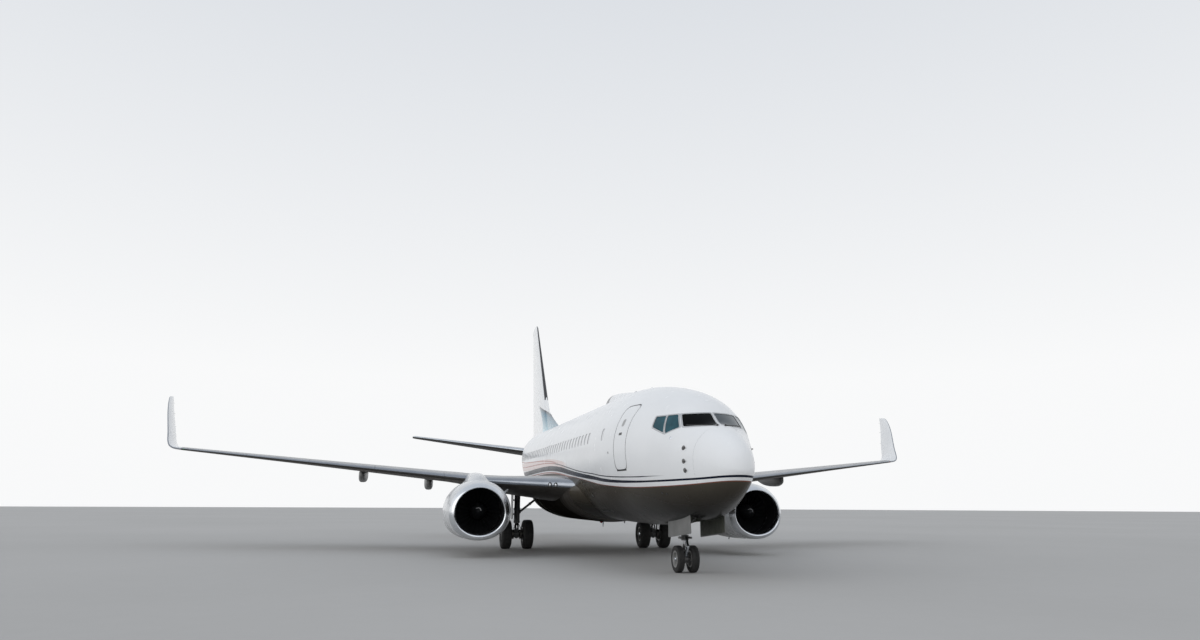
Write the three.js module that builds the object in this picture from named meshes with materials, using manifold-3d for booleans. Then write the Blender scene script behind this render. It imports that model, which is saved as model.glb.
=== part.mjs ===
// Short-bodied airliner with two engines under the wing and blended winglets, parked on its gear.
// Millimetres, +Z up, nose towards -Y, the aircraft's left side towards +X.
// A station is a distance aft of the nose tip. A height is above the ground.

import * as THREE from 'three';
import { mergeVertices } from 'three/addons/utils/BufferGeometryUtils.js';
import Module from 'manifold-3d';

const wasm = await Module();
wasm.setup();

// Whole aircraft
const LENGTH = 33630;
const GAP = 0.3;
const SEAM = 6;
const RUNNING_GAP = 14;
const END_GAP = 32;
const LINE_GAP = 9;
const FAR = 40000;

// Body: the keel of the straight part stands KEEL_HEIGHT over the ground at LEVEL_STATION,
// and the whole body sits nose down by ATTITUDE.
const KEEL_HEIGHT = 1180;
const LEVEL_STATION = 8000;
const ATTITUDE = 0.017;
const BODY_SIDES = 28;
const BODY_END = 32180;
const RADOME_SEAM = 1120;
const DOOR_THICKNESS = 110;
const BODY_CORE = 100;
const BODY_REACH = 3000;
const BELOW_BODY = 500;
const GLASS_THICKNESS = 60;

// Body sections: station, then crown, keel, half width and height of the widest point over the keel line
const BODY_SECTIONS = [
  [0, 1493, 1393, 45, 1443],
  [30, 1665, 1335, 140, 1448],
  [100, 1817, 1249, 250, 1465],
  [300, 2039, 1020, 421, 1508],
  [600, 2233, 819, 555, 1573],
  [RADOME_SEAM, 2465, 592, 748, 1683],
  [1400, 2568, 493, 861, 1736],
  [1800, 2852, 366, 1022, 1802],
  [2300, 3192, 270, 1212, 1880],
  [2800, 3401, 207, 1401, 1939],
  [3500, 3600, 142, 1588, 2020],
  [4500, 3800, 80, 1771, 2090],
  [5500, 3930, 40, 1851, 2120],
  [6700, 3995, 8, 1880, 2130],
  [8500, 4010, 0, 1880, 2130],
  [20500, 4010, 0, 1880, 2130],
  [22000, 4010, 110, 1860, 2210],
  [24000, 4010, 510, 1740, 2460],
  [26000, 4005, 1090, 1480, 2710],
  [28000, 3970, 1730, 1130, 2960],
  [30000, 3810, 2410, 730, 3160],
  [31200, 3690, 2830, 440, 3270],
  [BODY_END, 3530, 3110, 190, 3320],
];

// Wing to body fairing: station, half width, centre height, height above and below the centre
const FAIRING_SECTIONS = [
  [9500, 1350, 2150, 500, 780],
  [10300, 1700, 2160, 560, 900],
  [11300, 1960, 2180, 620, 1020],
  [12600, 2060, 2200, 650, 1080],
  [17600, 2080, 2230, 650, 1080],
  [19000, 1960, 2280, 600, 1000],
  [20200, 1650, 2330, 500, 850],
  [20900, 1300, 2360, 400, 700],
];
const FAIRING_SIDES = 20;

// Lifting surfaces: thickness shares are of the chord
const EDGE_HALF_THICKNESS = 7;
const CHORD_POINTS = [1, 0.78, 0.55, 0.3, 0.12, 0.035, 0.008];
const WING_CAMBER = 0.014;

// Wing: span position, leading and trailing edge station, their heights, thickness share
const WING_SECTIONS = [
  [1200, 10010, 18230, 2310, 2370, 0.125],
  [1950, 10850, 18300, 2360, 2420, 0.125],
  [4400, 13600, 18330, 2540, 2610, 0.117],
  [5750, 14400, 18350, 2700, 2790, 0.102],
  [12000, 17836, 20395, 3418, 3495, 0.09],
  [16600, 20365, 21920, 3943, 4000, 0.086],
];

// Winglet: x, height, lean of the panel from level, leading edge station, chord, thickness share
const WINGLET_SECTIONS = [
  [16600 + GAP, 3943, 0, 20365, 1555, 0.086],
  [16930, 3995, 18, 20545, 1505, 0.085],
  [17160, 4110, 45, 20740, 1430, 0.085],
  [17295, 4320, 68, 20950, 1350, 0.085],
  [17370, 4560, 75, 21150, 1280, 0.085],
  [17870, 6340, 75, 22570, 640, 0.08],
  [17888, 6410, 75, 22720, 500, 0.06],
];

const WINGLET_RISE = 57;

// Fin: height, leading and trailing edge station, thickness share
const FIN_SECTIONS = [
  [5050, 25550, 32150, 0.088],
  [7040, 27200, 32520, 0.086],
  [12400, 31560, 33390, 0.084],
  [12570, 31850, 33340, 0.06],
];
// Dorsal fin in side view: station, height
const DORSAL_OUTLINE = [
  [22900, 5300], [22900, 5450], [24350, 5900], [25470, 6280], [26490, 6720], [27600, 7600], [28000, 5300],
];
const DORSAL_THICKNESS = 150;

// Tailplane: span position, leading and trailing edge station, their heights, thickness share
const TAILPLANE_SECTIONS = [
  [250, 27370, 31650, 4520, 4600, 0.1],
  [1200, 28000, 31900, 4660, 4730, 0.1],
  [7000, 31880, 33565, 5575, 5605, 0.09],
  [7175, 32090, LENGTH, 5600, 5632, 0.06],
];

// Hinged surfaces: where the hinge line starts and ends along the span, and its share of the chord
const AILERON = { from: 12650, to: 16300, share: 0.76 };
const HINGE_SPARE = 1000;
const HINGE_REACH = 8000;
const HINGE_SIDES = 12;
const ELEVATOR = { from: 1500, to: 6750, share: 0.7 };
const RUDDER = { from: 5600, to: 12150, share: 0.68 };
const RUDDER_END_GAP = 75;

// Flaps and spoilers in plan: the front edge's span position and station, inboard then outboard
const FLAP_INBOARD = { inner: [2160, 17210], outer: [5150, 17370] };
const FLAP_OUTBOARD = { inner: [5900, 17470], outer: [12350, 19920] };
const SPOILERS = { inner: [6300, 17020], outer: [11900, 19150], chord: 572, depth: 70, rearShare: 0.6 };
const SPOILER_END_GAP = 24;
const SPOILER_REAR_GAP = 70;

// Flap track fairings: span position, nose station, length, half width, depth
const TRACK_FAIRINGS = [
  [3750, 16350, 2700, 150, 230],
  [6400, 16500, 2750, 150, 230],
  [9020, 17050, 2550, 140, 215],
];
const TRACK_SHAPE = [[0, 0.08], [0.08, 0.55], [0.3, 0.95], [0.6, 0.9], [0.85, 0.45], [1, 0.06]];
const TRACK_DROOP = 60;
const TRACK_SINK = 0.3;
const TRACK_SIDES = 8;
const ABOVE_SKIN = 300;

// Engines
const ENGINE_X = 4850;
const ENGINE_HEIGHT = 1500;
const LIP_STATION = 10370;
const ENGINE_SIDES = 20;
const FAN_BLADES = 24;
const FAN_TIP_RADIUS = 768;
const FAN_HUB_RADIUS = 270;
const FAN_FRONT = 900;
const FAN_BACK = 1160;
const FAN_PITCH = THREE.MathUtils.degToRad(42);
// Fan blade: radius, half thickness and half chord at its foot and its tip
const BLADE_ENDS = [[FAN_HUB_RADIUS - 25, 15, 110], [FAN_TIP_RADIUS - 15, 9, 150]];
const COWL_SPLIT = 1000;
const SHAFT_RADIUS = 60;
const SHAFT_BORE = 68;

// Inlet cowl: distance aft of the lip, radius, and how far the lower half is pressed flat
const INLET_PROFILE = [
  [COWL_SPLIT, 1035, 0.99], [600, 1012, 0.985], [280, 955, 0.97], [100, 895, 0.95], [20, 850, 0.92],
  [0, 828, 0.9], [20, 808, 0.88], [110, 783, 0.88], [300, 775, 0.9], [600, 785, 0.97], [COWL_SPLIT, 790, 1],
];
const FAN_COWL_PROFILE = [
  [3530, 888, 0.99], [3100, 945, 0.99], [2400, 1010, 0.99], [1700, 1040, 0.99],
  [COWL_SPLIT + GAP, 1035, 0.99],
  [COWL_SPLIT + GAP, 790, 1], [1450, 790, 1], [1850, 850, 1], [2600, 878, 1], [3530, 872, 1],
];
// Radius between the inner and the outer wall of each cowl
const INLET_MIDDLE = 840;
const COWL_MIDDLE = 880;
const CORE_PROFILE = [
  [1105, 0], [1105, SHAFT_RADIUS], [1230, SHAFT_RADIUS], [1230, 300], [1300, 300], [1300, 789.5],
  [1420, 789.5], [1420, 480], [1900, 600], [2600, 620], [3400, 540], [4100, 400], [4430, 330],
  [4430, 318], [4200, 318], [4200, 240], [4830, 20], [4830, 0],
];
const SPINNER_PROFILE = [
  [520, 0], [545, 50], [640, 130], [780, 215], [FAN_FRONT, FAN_HUB_RADIUS], [FAN_BACK + 20, FAN_HUB_RADIUS],
  [FAN_BACK + 20, SHAFT_BORE], [1090, SHAFT_BORE], [1090, 0],
];

// Pylon in side view: station, height
const PYLON_OUTLINE = [
  [11050, 2490], [11550, 2660], [12600, 2800], [13600, 2860], [14200, 2800], [16500, 2500],
  [16500, 2330], [15700, 2150], [14700, 1960], [11850, 1960], [11850, 2490],
];
const PYLON_WIDTH = 330;

// Doors: name, side, station range and height range
const DOORS = [
  ['passenger_door_forward', 1, [4600, 5460], [2630, 4460]],
  ['passenger_door_aft', 1, [25000, 25760], [2985, 4800]],
  ['service_door_forward', -1, [3850, 4610], [2630, 4330]],
  ['service_door_aft', -1, [25000, 25760], [2985, 4640]],
  ['cargo_door_forward', -1, [8000, 9220], [1560, 2370]],
  ['cargo_door_aft', -1, [21300, 22520], [1860, 2640]],
];
const DOOR_CORNER = 150;
const EXIT_STATIONS = [15000, 15510];
const EXIT_HEIGHTS = [3050, 4020];
const EXIT_RECESS = 420;

// Cockpit glass: front panes in front view (x, height), side panes in side view (station, height)
const WINDSCREEN_OUTLINE = [[55, 3590], [725, 3565], [655, 3885], [45, 3895]];
const SIDE_WINDOW_OUTLINE = [[1850, 3550], [2200, 3420], [2700, 3610], [2760, 3890], [2150, 3890]];
const WINDSCREEN_REACH = 2150;
const PANE_GAP = 2;
const SIDE_WINDOW_INNER = 695;

// Nose gear
const NOSE_GEAR_STATION = 4010;
const NOSE_TYRE_RADIUS = 343;
const NOSE_TYRE_SPACING = 400;
const NOSE_WELL = { halfWidth: 450, from: 2250, to: 4400, top: 1950 };
const NOSE_LEG_RADIUS = 80;
const NOSE_LEG_BOTTOM = 980;
const NOSE_LEG_TOP = 1750;
const NOSE_PISTON_RADIUS = 55;
const NOSE_PISTON_BORE = 64;
const NOSE_PISTON_TOP = 1250;
const NOSE_BRACE = { station: 3050, height: 1640 };
const NOSE_DOOR_OUTLINE = [[2270, 1500], [2230, 1040], [4020, 890], [4020, 1340]];
const NOSE_DOOR_THICKNESS = 28;

// Main gear
const MAIN_GEAR_STATION = 16610;
const MAIN_GEAR_X = 2860;
const MAIN_TYRE_RADIUS = 565;
const MAIN_TYRE_SPACING = 864;
const MAIN_LEG_TOP = 2400;
const MAIN_BAY = { inner: 2620, outer: 3100, from: 16050, to: 17050, top: 2500 };
const MAIN_TROUGH = { inner: 1000, outer: 2630, from: 16380, to: 16840, top: 2420 };
const MAIN_WELL = { x: 1000, radius: 660, top: 2150 };
const WELL_SIDES = 16;
const SIDE_STRUT = { x: 1960, height: 2060 };
const MAIN_DOOR = { inner: 190, outer: 215 };
const WHEEL_SIDES = 20;

// Finishes
const finish = (colour, roughness, metalness) =>
  new THREE.MeshStandardMaterial({ color: colour, roughness, metalness });
const WHITE_PAINT = finish(0xe9eaea, 0.3, 0);
const GREY_PAINT = finish(0x77746c, 0.4, 0);
const WING_GREY = finish(0xb4b6b6, 0.45, 0.1);
const BARE_METAL = finish(0xc4c6c8, 0.25, 1);
const DARK_METAL = finish(0x55534f, 0.45, 0.8);
const FAN_METAL = finish(0x2b2d30, 0.35, 0.7);
const GEAR_PAINT = finish(0xd2d3d2, 0.4, 0.1);
const TYRE_RUBBER = finish(0x1c1c1d, 0.85, 0);
const DARK_GLASS = finish(0x1f3a40, 0.08, 0);

// Station to Y, and points by x, station and height
const toY = (station) => station - LENGTH / 2;
const point = (x, station, height) => new THREE.Vector3(x, toY(station), height);
const attitude = (station) => KEEL_HEIGHT + ATTITUDE * (station - LEVEL_STATION);

// Row of a table at a position between its rows
function rowAt(table, position) {
  let index = 0;
  while (index < table.length - 2 && table[index + 1][0] < position) index += 1;
  const share = (position - table[index][0]) / (table[index + 1][0] - table[index][0]);
  return table[index].map((value, column) => value + (table[index + 1][column] - value) * share);
}

// Solids from three.js geometry, turned right side out
function toSolid(geometry) {
  const bare = geometry.clone();
  bare.deleteAttribute('normal');
  bare.deleteAttribute('uv');
  const merged = mergeVertices(bare, 0.001);
  const vertices = merged.attributes.position.array;
  const triangles = Uint32Array.from(merged.index.array);
  let volume = 0;
  const corners = [new THREE.Vector3(), new THREE.Vector3(), new THREE.Vector3()];
  for (let t = 0; t < triangles.length; t += 3) {
    corners.forEach((corner, i) => corner.fromArray(vertices, 3 * triangles[t + i]));
    volume += corners[0].dot(corners[1].cross(corners[2]));
  }
  if (volume < 0) triangles.reverse();
  return new wasm.Manifold(new wasm.Mesh({ numProp: 3, vertProperties: vertices, triVerts: triangles }));
}

function toGeometry(solid) {
  const mesh = solid.getMesh();
  const geometry = new THREE.BufferGeometry();
  geometry.setAttribute('position', new THREE.BufferAttribute(mesh.vertProperties, 3));
  geometry.setIndex(new THREE.BufferAttribute(mesh.triVerts, 1));
  return geometry;
}

// Skin over rings of equal point counts, with both ends closed by strips across the ring.
// Faces right of the middle split the other way, so that both halves mirror each other.
function loft(rings) {
  const count = rings[0].length;
  const index = [];
  for (let r = 0; r < rings.length - 1; r += 1) {
    for (let k = 0; k < count; k += 1) {
      const a = r * count + k;
      const b = r * count + ((k + 1) % count);
      const isRight = rings[r][k].x + rings[r][(k + 1) % count].x < 0;
      if (isRight) index.push(a, b, b + count, a, b + count, a + count);
      else index.push(a, b, a + count, b, b + count, a + count);
    }
  }
  const last = (rings.length - 1) * count;
  for (let k = 0; k < count / 2 - 1; k += 1) {
    const mirrorK = count - 1 - k;
    if (k + 1 < mirrorK) {
      index.push(k, mirrorK, k + 1);
      index.push(last + k, last + k + 1, last + mirrorK);
    }
    if (k + 1 < mirrorK - 1) {
      index.push(k + 1, mirrorK, mirrorK - 1);
      index.push(last + k + 1, last + mirrorK - 1, last + mirrorK);
    }
  }
  const geometry = new THREE.BufferGeometry();
  const positions = rings.flat().flatMap((p) => [p.x, p.y, p.z]);
  geometry.setAttribute('position', new THREE.Float32BufferAttribute(positions, 3));
  geometry.setIndex(index);
  return toSolid(geometry);
}

// Prisms from outlines: side view (station, height), plan (x, station) and front view (x, height)
function extrude(outline, depth) {
  const shape = new THREE.Shape(outline.map(([a, b]) => new THREE.Vector2(a, b)));
  return new THREE.ExtrudeGeometry(shape, { depth, bevelEnabled: false });
}

function sidePrism(outline, fromX, toX) {
  const geometry = extrude(outline.map(([station, height]) => [toY(station), height]), toX - fromX);
  const axes = new THREE.Matrix4().makeBasis(
    new THREE.Vector3(0, 1, 0), new THREE.Vector3(0, 0, 1), new THREE.Vector3(1, 0, 0));
  return toSolid(geometry.applyMatrix4(axes).translate(fromX, 0, 0));
}

function planPrism(outline, fromHeight, toHeight) {
  const geometry = extrude(outline.map(([x, station]) => [x, toY(station)]), toHeight - fromHeight);
  return toSolid(geometry.translate(0, 0, fromHeight));
}

function frontPrism(outline, fromStation, toStation) {
  const geometry = extrude(outline, toStation - fromStation).rotateX(Math.PI / 2);
  return toSolid(geometry.translate(0, toY(toStation), 0));
}

function boxBetween(low, high) {
  const size = high.clone().sub(low);
  const middle = low.clone().add(high).multiplyScalar(0.5);
  return toSolid(new THREE.BoxGeometry(size.x, size.y, size.z).translate(middle.x, middle.y, middle.z));
}

// Round bar from one point to another
function rod(start, end, startRadius, endRadius = startRadius, sides = 10) {
  const along = end.clone().sub(start);
  const geometry = new THREE.CylinderGeometry(endRadius, startRadius, along.length(), sides);
  const turn = new THREE.Quaternion().setFromUnitVectors(new THREE.Vector3(0, 1, 0), along.normalize());
  const middle = start.clone().add(end).multiplyScalar(0.5);
  return toSolid(geometry.applyQuaternion(turn).translate(middle.x, middle.y, middle.z));
}

// Turned solid about +Y from rows of distance along the axis and radius
function turned(profile, sides) {
  const points = profile.map(([along, radius]) => new THREE.Vector2(radius, along));
  return new THREE.LatheGeometry(points, sides, Math.PI / sides);
}

// Turned solid about +X, a flat of its outer polygon facing down
function turnedWheel(profile, sides) {
  return toSolid(turned(profile, sides).rotateZ(-Math.PI / 2));
}

const union = (solids) => solids.reduce((all, solid) => all.add(solid));
const without = (solid, cutters) => cutters.reduce((rest, cutter) => rest.subtract(cutter), solid);

function mirrored(solid) {
  const geometry = toGeometry(solid);
  geometry.scale(-1, 1, 1);
  return toSolid(geometry);
}

const aircraft = new THREE.Group();

function add(name, solid, material, parent = aircraft) {
  const mesh = new THREE.Mesh(toGeometry(solid), material);
  mesh.name = name;
  parent.add(mesh);
}

function addPair(name, leftSolid, material) {
  add(`${name}_left`, leftSolid, material);
  add(`${name}_right`, mirrored(leftSolid), material);
}

// Body shell, larger or smaller than its table by grow
function bodyRing([station, crown, keel, halfWidth, widest], grow) {
  const base = attitude(station);
  return Array.from({ length: BODY_SIDES }, (_, k) => {
    const angle = (2 * Math.PI * k) / BODY_SIDES;
    const reach = Math.sin(angle) > 0 ? crown - widest : widest - keel;
    const x = Math.max(halfWidth + grow, 5) * Math.cos(angle);
    return point(x, station, base + widest + Math.max(reach + grow, 5) * Math.sin(angle));
  });
}

function bodyBetween(from, to, grow = 0) {
  const inside = BODY_SECTIONS.filter(([station]) => station > from && station < to);
  const rows = [rowAt(BODY_SECTIONS, from), ...inside, rowAt(BODY_SECTIONS, to)];
  return loft(rows.map((row) => bodyRing(row, grow)));
}

const wholeBody = bodyBetween(RADOME_SEAM + GAP, BODY_END);
const bodyClearance = bodyBetween(0, BODY_END, GAP);
const bodyInsideDoors = bodyBetween(0, BODY_END, -DOOR_THICKNESS);
const bodyInsideGlass = bodyBetween(0, BODY_END, -GLASS_THICKNESS);

function fairing(grow) {
  return loft(FAIRING_SECTIONS.map(([station, halfWidth, centre, above, below]) =>
    Array.from({ length: FAIRING_SIDES }, (_, k) => {
      const angle = (2 * Math.PI * k) / FAIRING_SIDES;
      const reach = (Math.sin(angle) > 0 ? above : below) + grow;
      return point((halfWidth + grow) * Math.cos(angle), station, centre + reach * Math.sin(angle));
    })));
}

// Half thickness of a streamlined section at a share of its chord
function halfThickness(share, thickness) {
  const root = 0.2969 * Math.sqrt(share) - 0.126 * share;
  return 5 * thickness * (root - 0.3516 * share ** 2 + 0.2843 * share ** 3 - 0.1015 * share ** 4);
}

// Section ring from leading to trailing edge point; up is the direction of its thickness
function sectionRing(leading, trailing, up, thickness, camber, grow) {
  const chord = trailing.clone().sub(leading);
  const length = chord.length();
  const forward = chord.clone().normalize();
  const place = (share, side) => {
    const half = Math.max(halfThickness(share, thickness) * length, EDGE_HALF_THICKNESS) + grow;
    const middle = 4 * camber * share * (1 - share) * length;
    const p = leading.clone().addScaledVector(chord, share).addScaledVector(up, middle + side * half);
    return share === 1 ? p.addScaledVector(forward, grow) : p;
  };
  const upper = CHORD_POINTS.map((share) => place(share, 1));
  const lower = CHORD_POINTS.map((share) => place(share, -1)).reverse();
  return [...upper, leading.clone().addScaledVector(forward, -grow), ...lower];
}

const UP = new THREE.Vector3(0, 0, 1);
const LEFT = new THREE.Vector3(1, 0, 0);

const wingRing = ([x, front, back, frontHeight, backHeight, thickness], grow, camber) =>
  sectionRing(point(x, front, frontHeight), point(x, back, backHeight), UP, thickness, camber, grow);
const finRing = ([height, front, back, thickness], grow) =>
  sectionRing(point(0, front, height), point(0, back, height), LEFT, thickness, 0, grow);

const wingBody = (grow) => loft(WING_SECTIONS.map((row) => wingRing(row, grow, WING_CAMBER)));
const tailplaneBody = loft(TAILPLANE_SECTIONS.map((row) => wingRing(row, 0, 0)));
const finBody = loft(FIN_SECTIONS.map((row) => finRing(row, 0)));

// Point on the middle surface of the wing, tailplane or fin, and its half thickness there
function middleOf(table, camber, x, share) {
  const [, front, back, frontHeight, backHeight, thickness] = rowAt(table, x);
  const chord = back - front;
  const height = frontHeight + (backHeight - frontHeight) * share + 4 * camber * share * (1 - share) * chord;
  return { at: point(x, front + chord * share, height), half: halfThickness(share, thickness) * chord };
}

const wingMiddle = (x, share) => middleOf(WING_SECTIONS, WING_CAMBER, x, share);
const tailplaneMiddle = (x, share) => middleOf(TAILPLANE_SECTIONS, 0, x, share);

function finMiddle(height, share) {
  const [, front, back, thickness] = rowAt(FIN_SECTIONS, height);
  const chord = back - front;
  return { at: point(0, front + chord * share, height), half: halfThickness(share, thickness) * chord };
}

// Region aft of a hinge line with a round nose about it, inside limits, wider by gap all round
function hingeRegion(start, end, limits, gap) {
  const along = end.at.clone().sub(start.at);
  const length = along.length();
  along.normalize();
  const aft = new THREE.Vector3(0, 1, 0).addScaledVector(along, -along.y).normalize();
  const across = new THREE.Vector3().crossVectors(along, aft);
  const block = new THREE.BoxGeometry(length + 2 * HINGE_SPARE, HINGE_REACH, HINGE_REACH);
  block.translate(length / 2, HINGE_REACH / 2, 0);
  block.applyMatrix4(new THREE.Matrix4().makeBasis(along, aft, across).setPosition(start.at));
  const taper = ((end.half - start.half) * HINGE_SPARE) / length;
  const before = start.at.clone().addScaledVector(along, -HINGE_SPARE);
  const after = end.at.clone().addScaledVector(along, HINGE_SPARE);
  const nose = rod(before, after, start.half - taper + gap, end.half + taper + gap, HINGE_SIDES);
  return toSolid(block).add(nose).intersect(limits);
}

const spanLimits = (from, to, gap) => boxBetween(point(from - gap, 0, 0), point(to + gap, FAR, FAR));
const heightLimits = (from, to, gap) => boxBetween(point(-FAR, 0, from - gap), point(FAR, FAR, to + gap));

// Cut a hinged surface out of a body: the fixed rest and the moving piece
function splitAtHinge(body, middle, limits, { from, to, share }, endGap = END_GAP) {
  const start = middle(from, share);
  const end = middle(to, share);
  return {
    fixed: body.subtract(hingeRegion(start, end, limits(from, to, endGap), RUNNING_GAP)),
    moving: body.intersect(hingeRegion(start, end, limits(from, to, 0), 0)),
  };
}

// Side view outline with rounded corners, larger by grow
function rounded([fromS, toS], [fromZ, toZ], radius, grow) {
  const steps = [0, 1, 2].map((i) => (i * Math.PI) / 4);
  const corners = [
    [toS, toZ, 0], [fromS, toZ, 1], [fromS, fromZ, 2], [toS, fromZ, 3],
  ];
  return corners.flatMap(([station, height, quarter]) => {
    const inwardS = quarter === 0 || quarter === 3 ? -radius : radius;
    const inwardZ = quarter < 2 ? -radius : radius;
    return steps.map((step) => {
      const angle = step + (quarter * Math.PI) / 2;
      const reach = radius + grow;
      return [station + inwardS + reach * Math.cos(angle), height + inwardZ + reach * Math.sin(angle)];
    });
  });
}

const sideRange = (side, inner = BODY_CORE) => (side > 0 ? [inner, BODY_REACH] : [-BODY_REACH, -inner]);

const bodyCuts = [];

// Door or exit panel, and the recess behind it as deep as the last value
function fuselageDoor(name, side, stations, heights, gap, recess) {
  const [fromX, toX] = sideRange(side);
  const panel = sidePrism(rounded(stations, heights, DOOR_CORNER, 0), fromX, toX);
  const frame = sidePrism(rounded(stations, heights, DOOR_CORNER, gap), fromX, toX);
  bodyCuts.push(frame.subtract(bodyBetween(0, BODY_END, -recess)));
  add(name, wholeBody.intersect(panel).subtract(bodyInsideDoors), WHITE_PAINT);
}

DOORS.forEach(([name, side, stations, heights]) => {
  fuselageDoor(name, side, stations, heights, SEAM, DOOR_THICKNESS + GAP);
});
fuselageDoor('overwing_exit_left', 1, EXIT_STATIONS, EXIT_HEIGHTS, LINE_GAP, EXIT_RECESS);
fuselageDoor('overwing_exit_right', -1, EXIT_STATIONS, EXIT_HEIGHTS, LINE_GAP, EXIT_RECESS);

function shrunk(outline, margin) {
  const mean = (column) => outline.reduce((sum, p) => sum + p[column], 0) / outline.length;
  const centre = [mean(0), mean(1)];
  return outline.map(([a, b]) => {
    const distance = Math.hypot(a - centre[0], b - centre[1]);
    const keep = 1 - margin / distance;
    return [centre[0] + (a - centre[0]) * keep, centre[1] + (b - centre[1]) * keep];
  });
}

[['left', 1], ['right', -1]].forEach(([label, side]) => {
  const front = (outline) => frontPrism(outline.map(([x, z]) => [side * x, z]), 0, WINDSCREEN_REACH);
  const [fromX, toX] = sideRange(side, SIDE_WINDOW_INNER);
  const beside = (outline) => sidePrism(outline, fromX, toX);
  const panes = [
    [`windscreen_${label}`, front, WINDSCREEN_OUTLINE],
    [`cockpit_side_window_${label}`, beside, SIDE_WINDOW_OUTLINE],
  ];
  panes.forEach(([name, prism, outline]) => {
    bodyCuts.push(prism(outline).subtract(bodyBetween(0, BODY_END, -GLASS_THICKNESS - GAP)));
    const pane = prism(shrunk(outline, PANE_GAP));
    add(name, wholeBody.intersect(pane).subtract(bodyInsideGlass), DARK_GLASS);
  });
});

const noseWell = boxBetween(
  point(-NOSE_WELL.halfWidth, NOSE_WELL.from, BELOW_BODY),
  point(NOSE_WELL.halfWidth, NOSE_WELL.to, NOSE_WELL.top));

function mainWell(side) {
  const xs = (a, b) => [Math.min(side * a, side * b), Math.max(side * a, side * b)];
  const block = ({ inner, outer, from, to, top }) => {
    const [low, high] = xs(inner, outer);
    return boxBetween(point(low, from, BELOW_BODY), point(high, to, top));
  };
  const mouth = point(side * MAIN_WELL.x, MAIN_GEAR_STATION, BELOW_BODY);
  const roof = point(side * MAIN_WELL.x, MAIN_GEAR_STATION, MAIN_WELL.top);
  const well = rod(mouth, roof, MAIN_WELL.radius, MAIN_WELL.radius, WELL_SIDES);
  return union([block(MAIN_BAY), block(MAIN_TROUGH), well]);
}

const mainWells = [mainWell(1), mainWell(-1)];

add('radome', bodyBetween(0, RADOME_SEAM), WHITE_PAINT);
add('fuselage', without(wholeBody, [...bodyCuts, noseWell, ...mainWells]), WHITE_PAINT);
add('wing_body_fairing', without(fairing(0), [bodyClearance, ...mainWells]), GREY_PAINT);

// Wings, each cut for its aileron, spoilers, flaps and the main gear
function aftRegion({ inner, outer }, gap) {
  const slope = (outer[1] - inner[1]) / (outer[0] - inner[0]);
  const front = (x) => inner[1] + slope * (x - inner[0]) - gap;
  const [fromX, toX] = [inner[0] - gap, outer[0] + gap];
  return planPrism([[fromX, front(fromX)], [toX, front(toX)], [toX, FAR], [fromX, FAR]], 0, FAR);
}

// Spoiler panel row: the upper skin over a strip of the wing, as deep as its front edge
function spoilerRegion({ inner, outer, chord, rearShare }, depth, frontGap, rearGap, endGap) {
  const ring = ([x, station]) => {
    const top = (s) => {
      const [, front, back] = rowAt(WING_SECTIONS, x);
      const share = (s - front) / (back - front);
      const middle = wingMiddle(x, share);
      return middle.at.z + middle.half;
    };
    const [nose, tail] = [station - frontGap, station + chord + rearGap];
    return [
      point(x, tail, top(tail) + ABOVE_SKIN), point(x, nose, top(nose) + ABOVE_SKIN),
      point(x, nose, top(nose) - depth), point(x, tail, top(tail) - depth * rearShare),
    ];
  };
  const slope = (outer[1] - inner[1]) / (outer[0] - inner[0]);
  const ends = [[inner, -endGap], [outer, endGap]];
  return loft(ends.map(([[x, station], shift]) => ring([x + shift, station + slope * shift])));
}

function trackFairing([x, nose, length, halfWidth, depth]) {
  const rings = TRACK_SHAPE.map(([share, size]) => {
    const station = nose + share * length;
    const [, front, back] = rowAt(WING_SECTIONS, x);
    const chordShare = Math.min((station - front) / (back - front), 1);
    const middle = wingMiddle(x, chordShare);
    const centre = middle.at.z - middle.half - share * TRACK_DROOP - depth * TRACK_SINK;
    return Array.from({ length: TRACK_SIDES }, (_, k) => {
      const angle = (2 * Math.PI * k) / TRACK_SIDES;
      return point(x + halfWidth * size * Math.cos(angle), station, centre + depth * size * Math.sin(angle));
    });
  });
  return loft(rings);
}

const fixedNeighbours = [bodyClearance, fairing(GAP)];
const wingWhole = wingBody(0);
const aileronSplit = splitAtHinge(wingWhole, wingMiddle, spanLimits, AILERON);

const spoilerPanel = wingWhole.intersect(spoilerRegion(SPOILERS, SPOILERS.depth, 0, 0, 0));
const spoilerPocket = spoilerRegion(
  SPOILERS, SPOILERS.depth + LINE_GAP, RUNNING_GAP, SPOILER_REAR_GAP, SPOILER_END_GAP);
const flapInboard = without(wingWhole.intersect(aftRegion(FLAP_INBOARD, 0)), fixedNeighbours);
const flapOutboard = wingWhole.intersect(aftRegion(FLAP_OUTBOARD, 0));

const flapRegions = [aftRegion(FLAP_INBOARD, SEAM), aftRegion(FLAP_OUTBOARD, SEAM)];
const trackCuts = flapRegions.map((region) => region.intersect(wingBody(SEAM)));
const tracks = TRACK_FAIRINGS.map(trackFairing);
const wingCuts = [...flapRegions, spoilerPocket, ...fixedNeighbours, mainWells[0]];
const wingFixed = without(aileronSplit.fixed, wingCuts);
const wingWithTracks = without(union([wingFixed, ...tracks]), trackCuts);

addPair('wing', wingWithTracks, WING_GREY);
addPair('aileron', aileronSplit.moving, WING_GREY);
addPair('spoilers', spoilerPanel, WING_GREY);
addPair('flap_inboard', flapInboard, WING_GREY);
addPair('flap_outboard', flapOutboard, WING_GREY);

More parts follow.
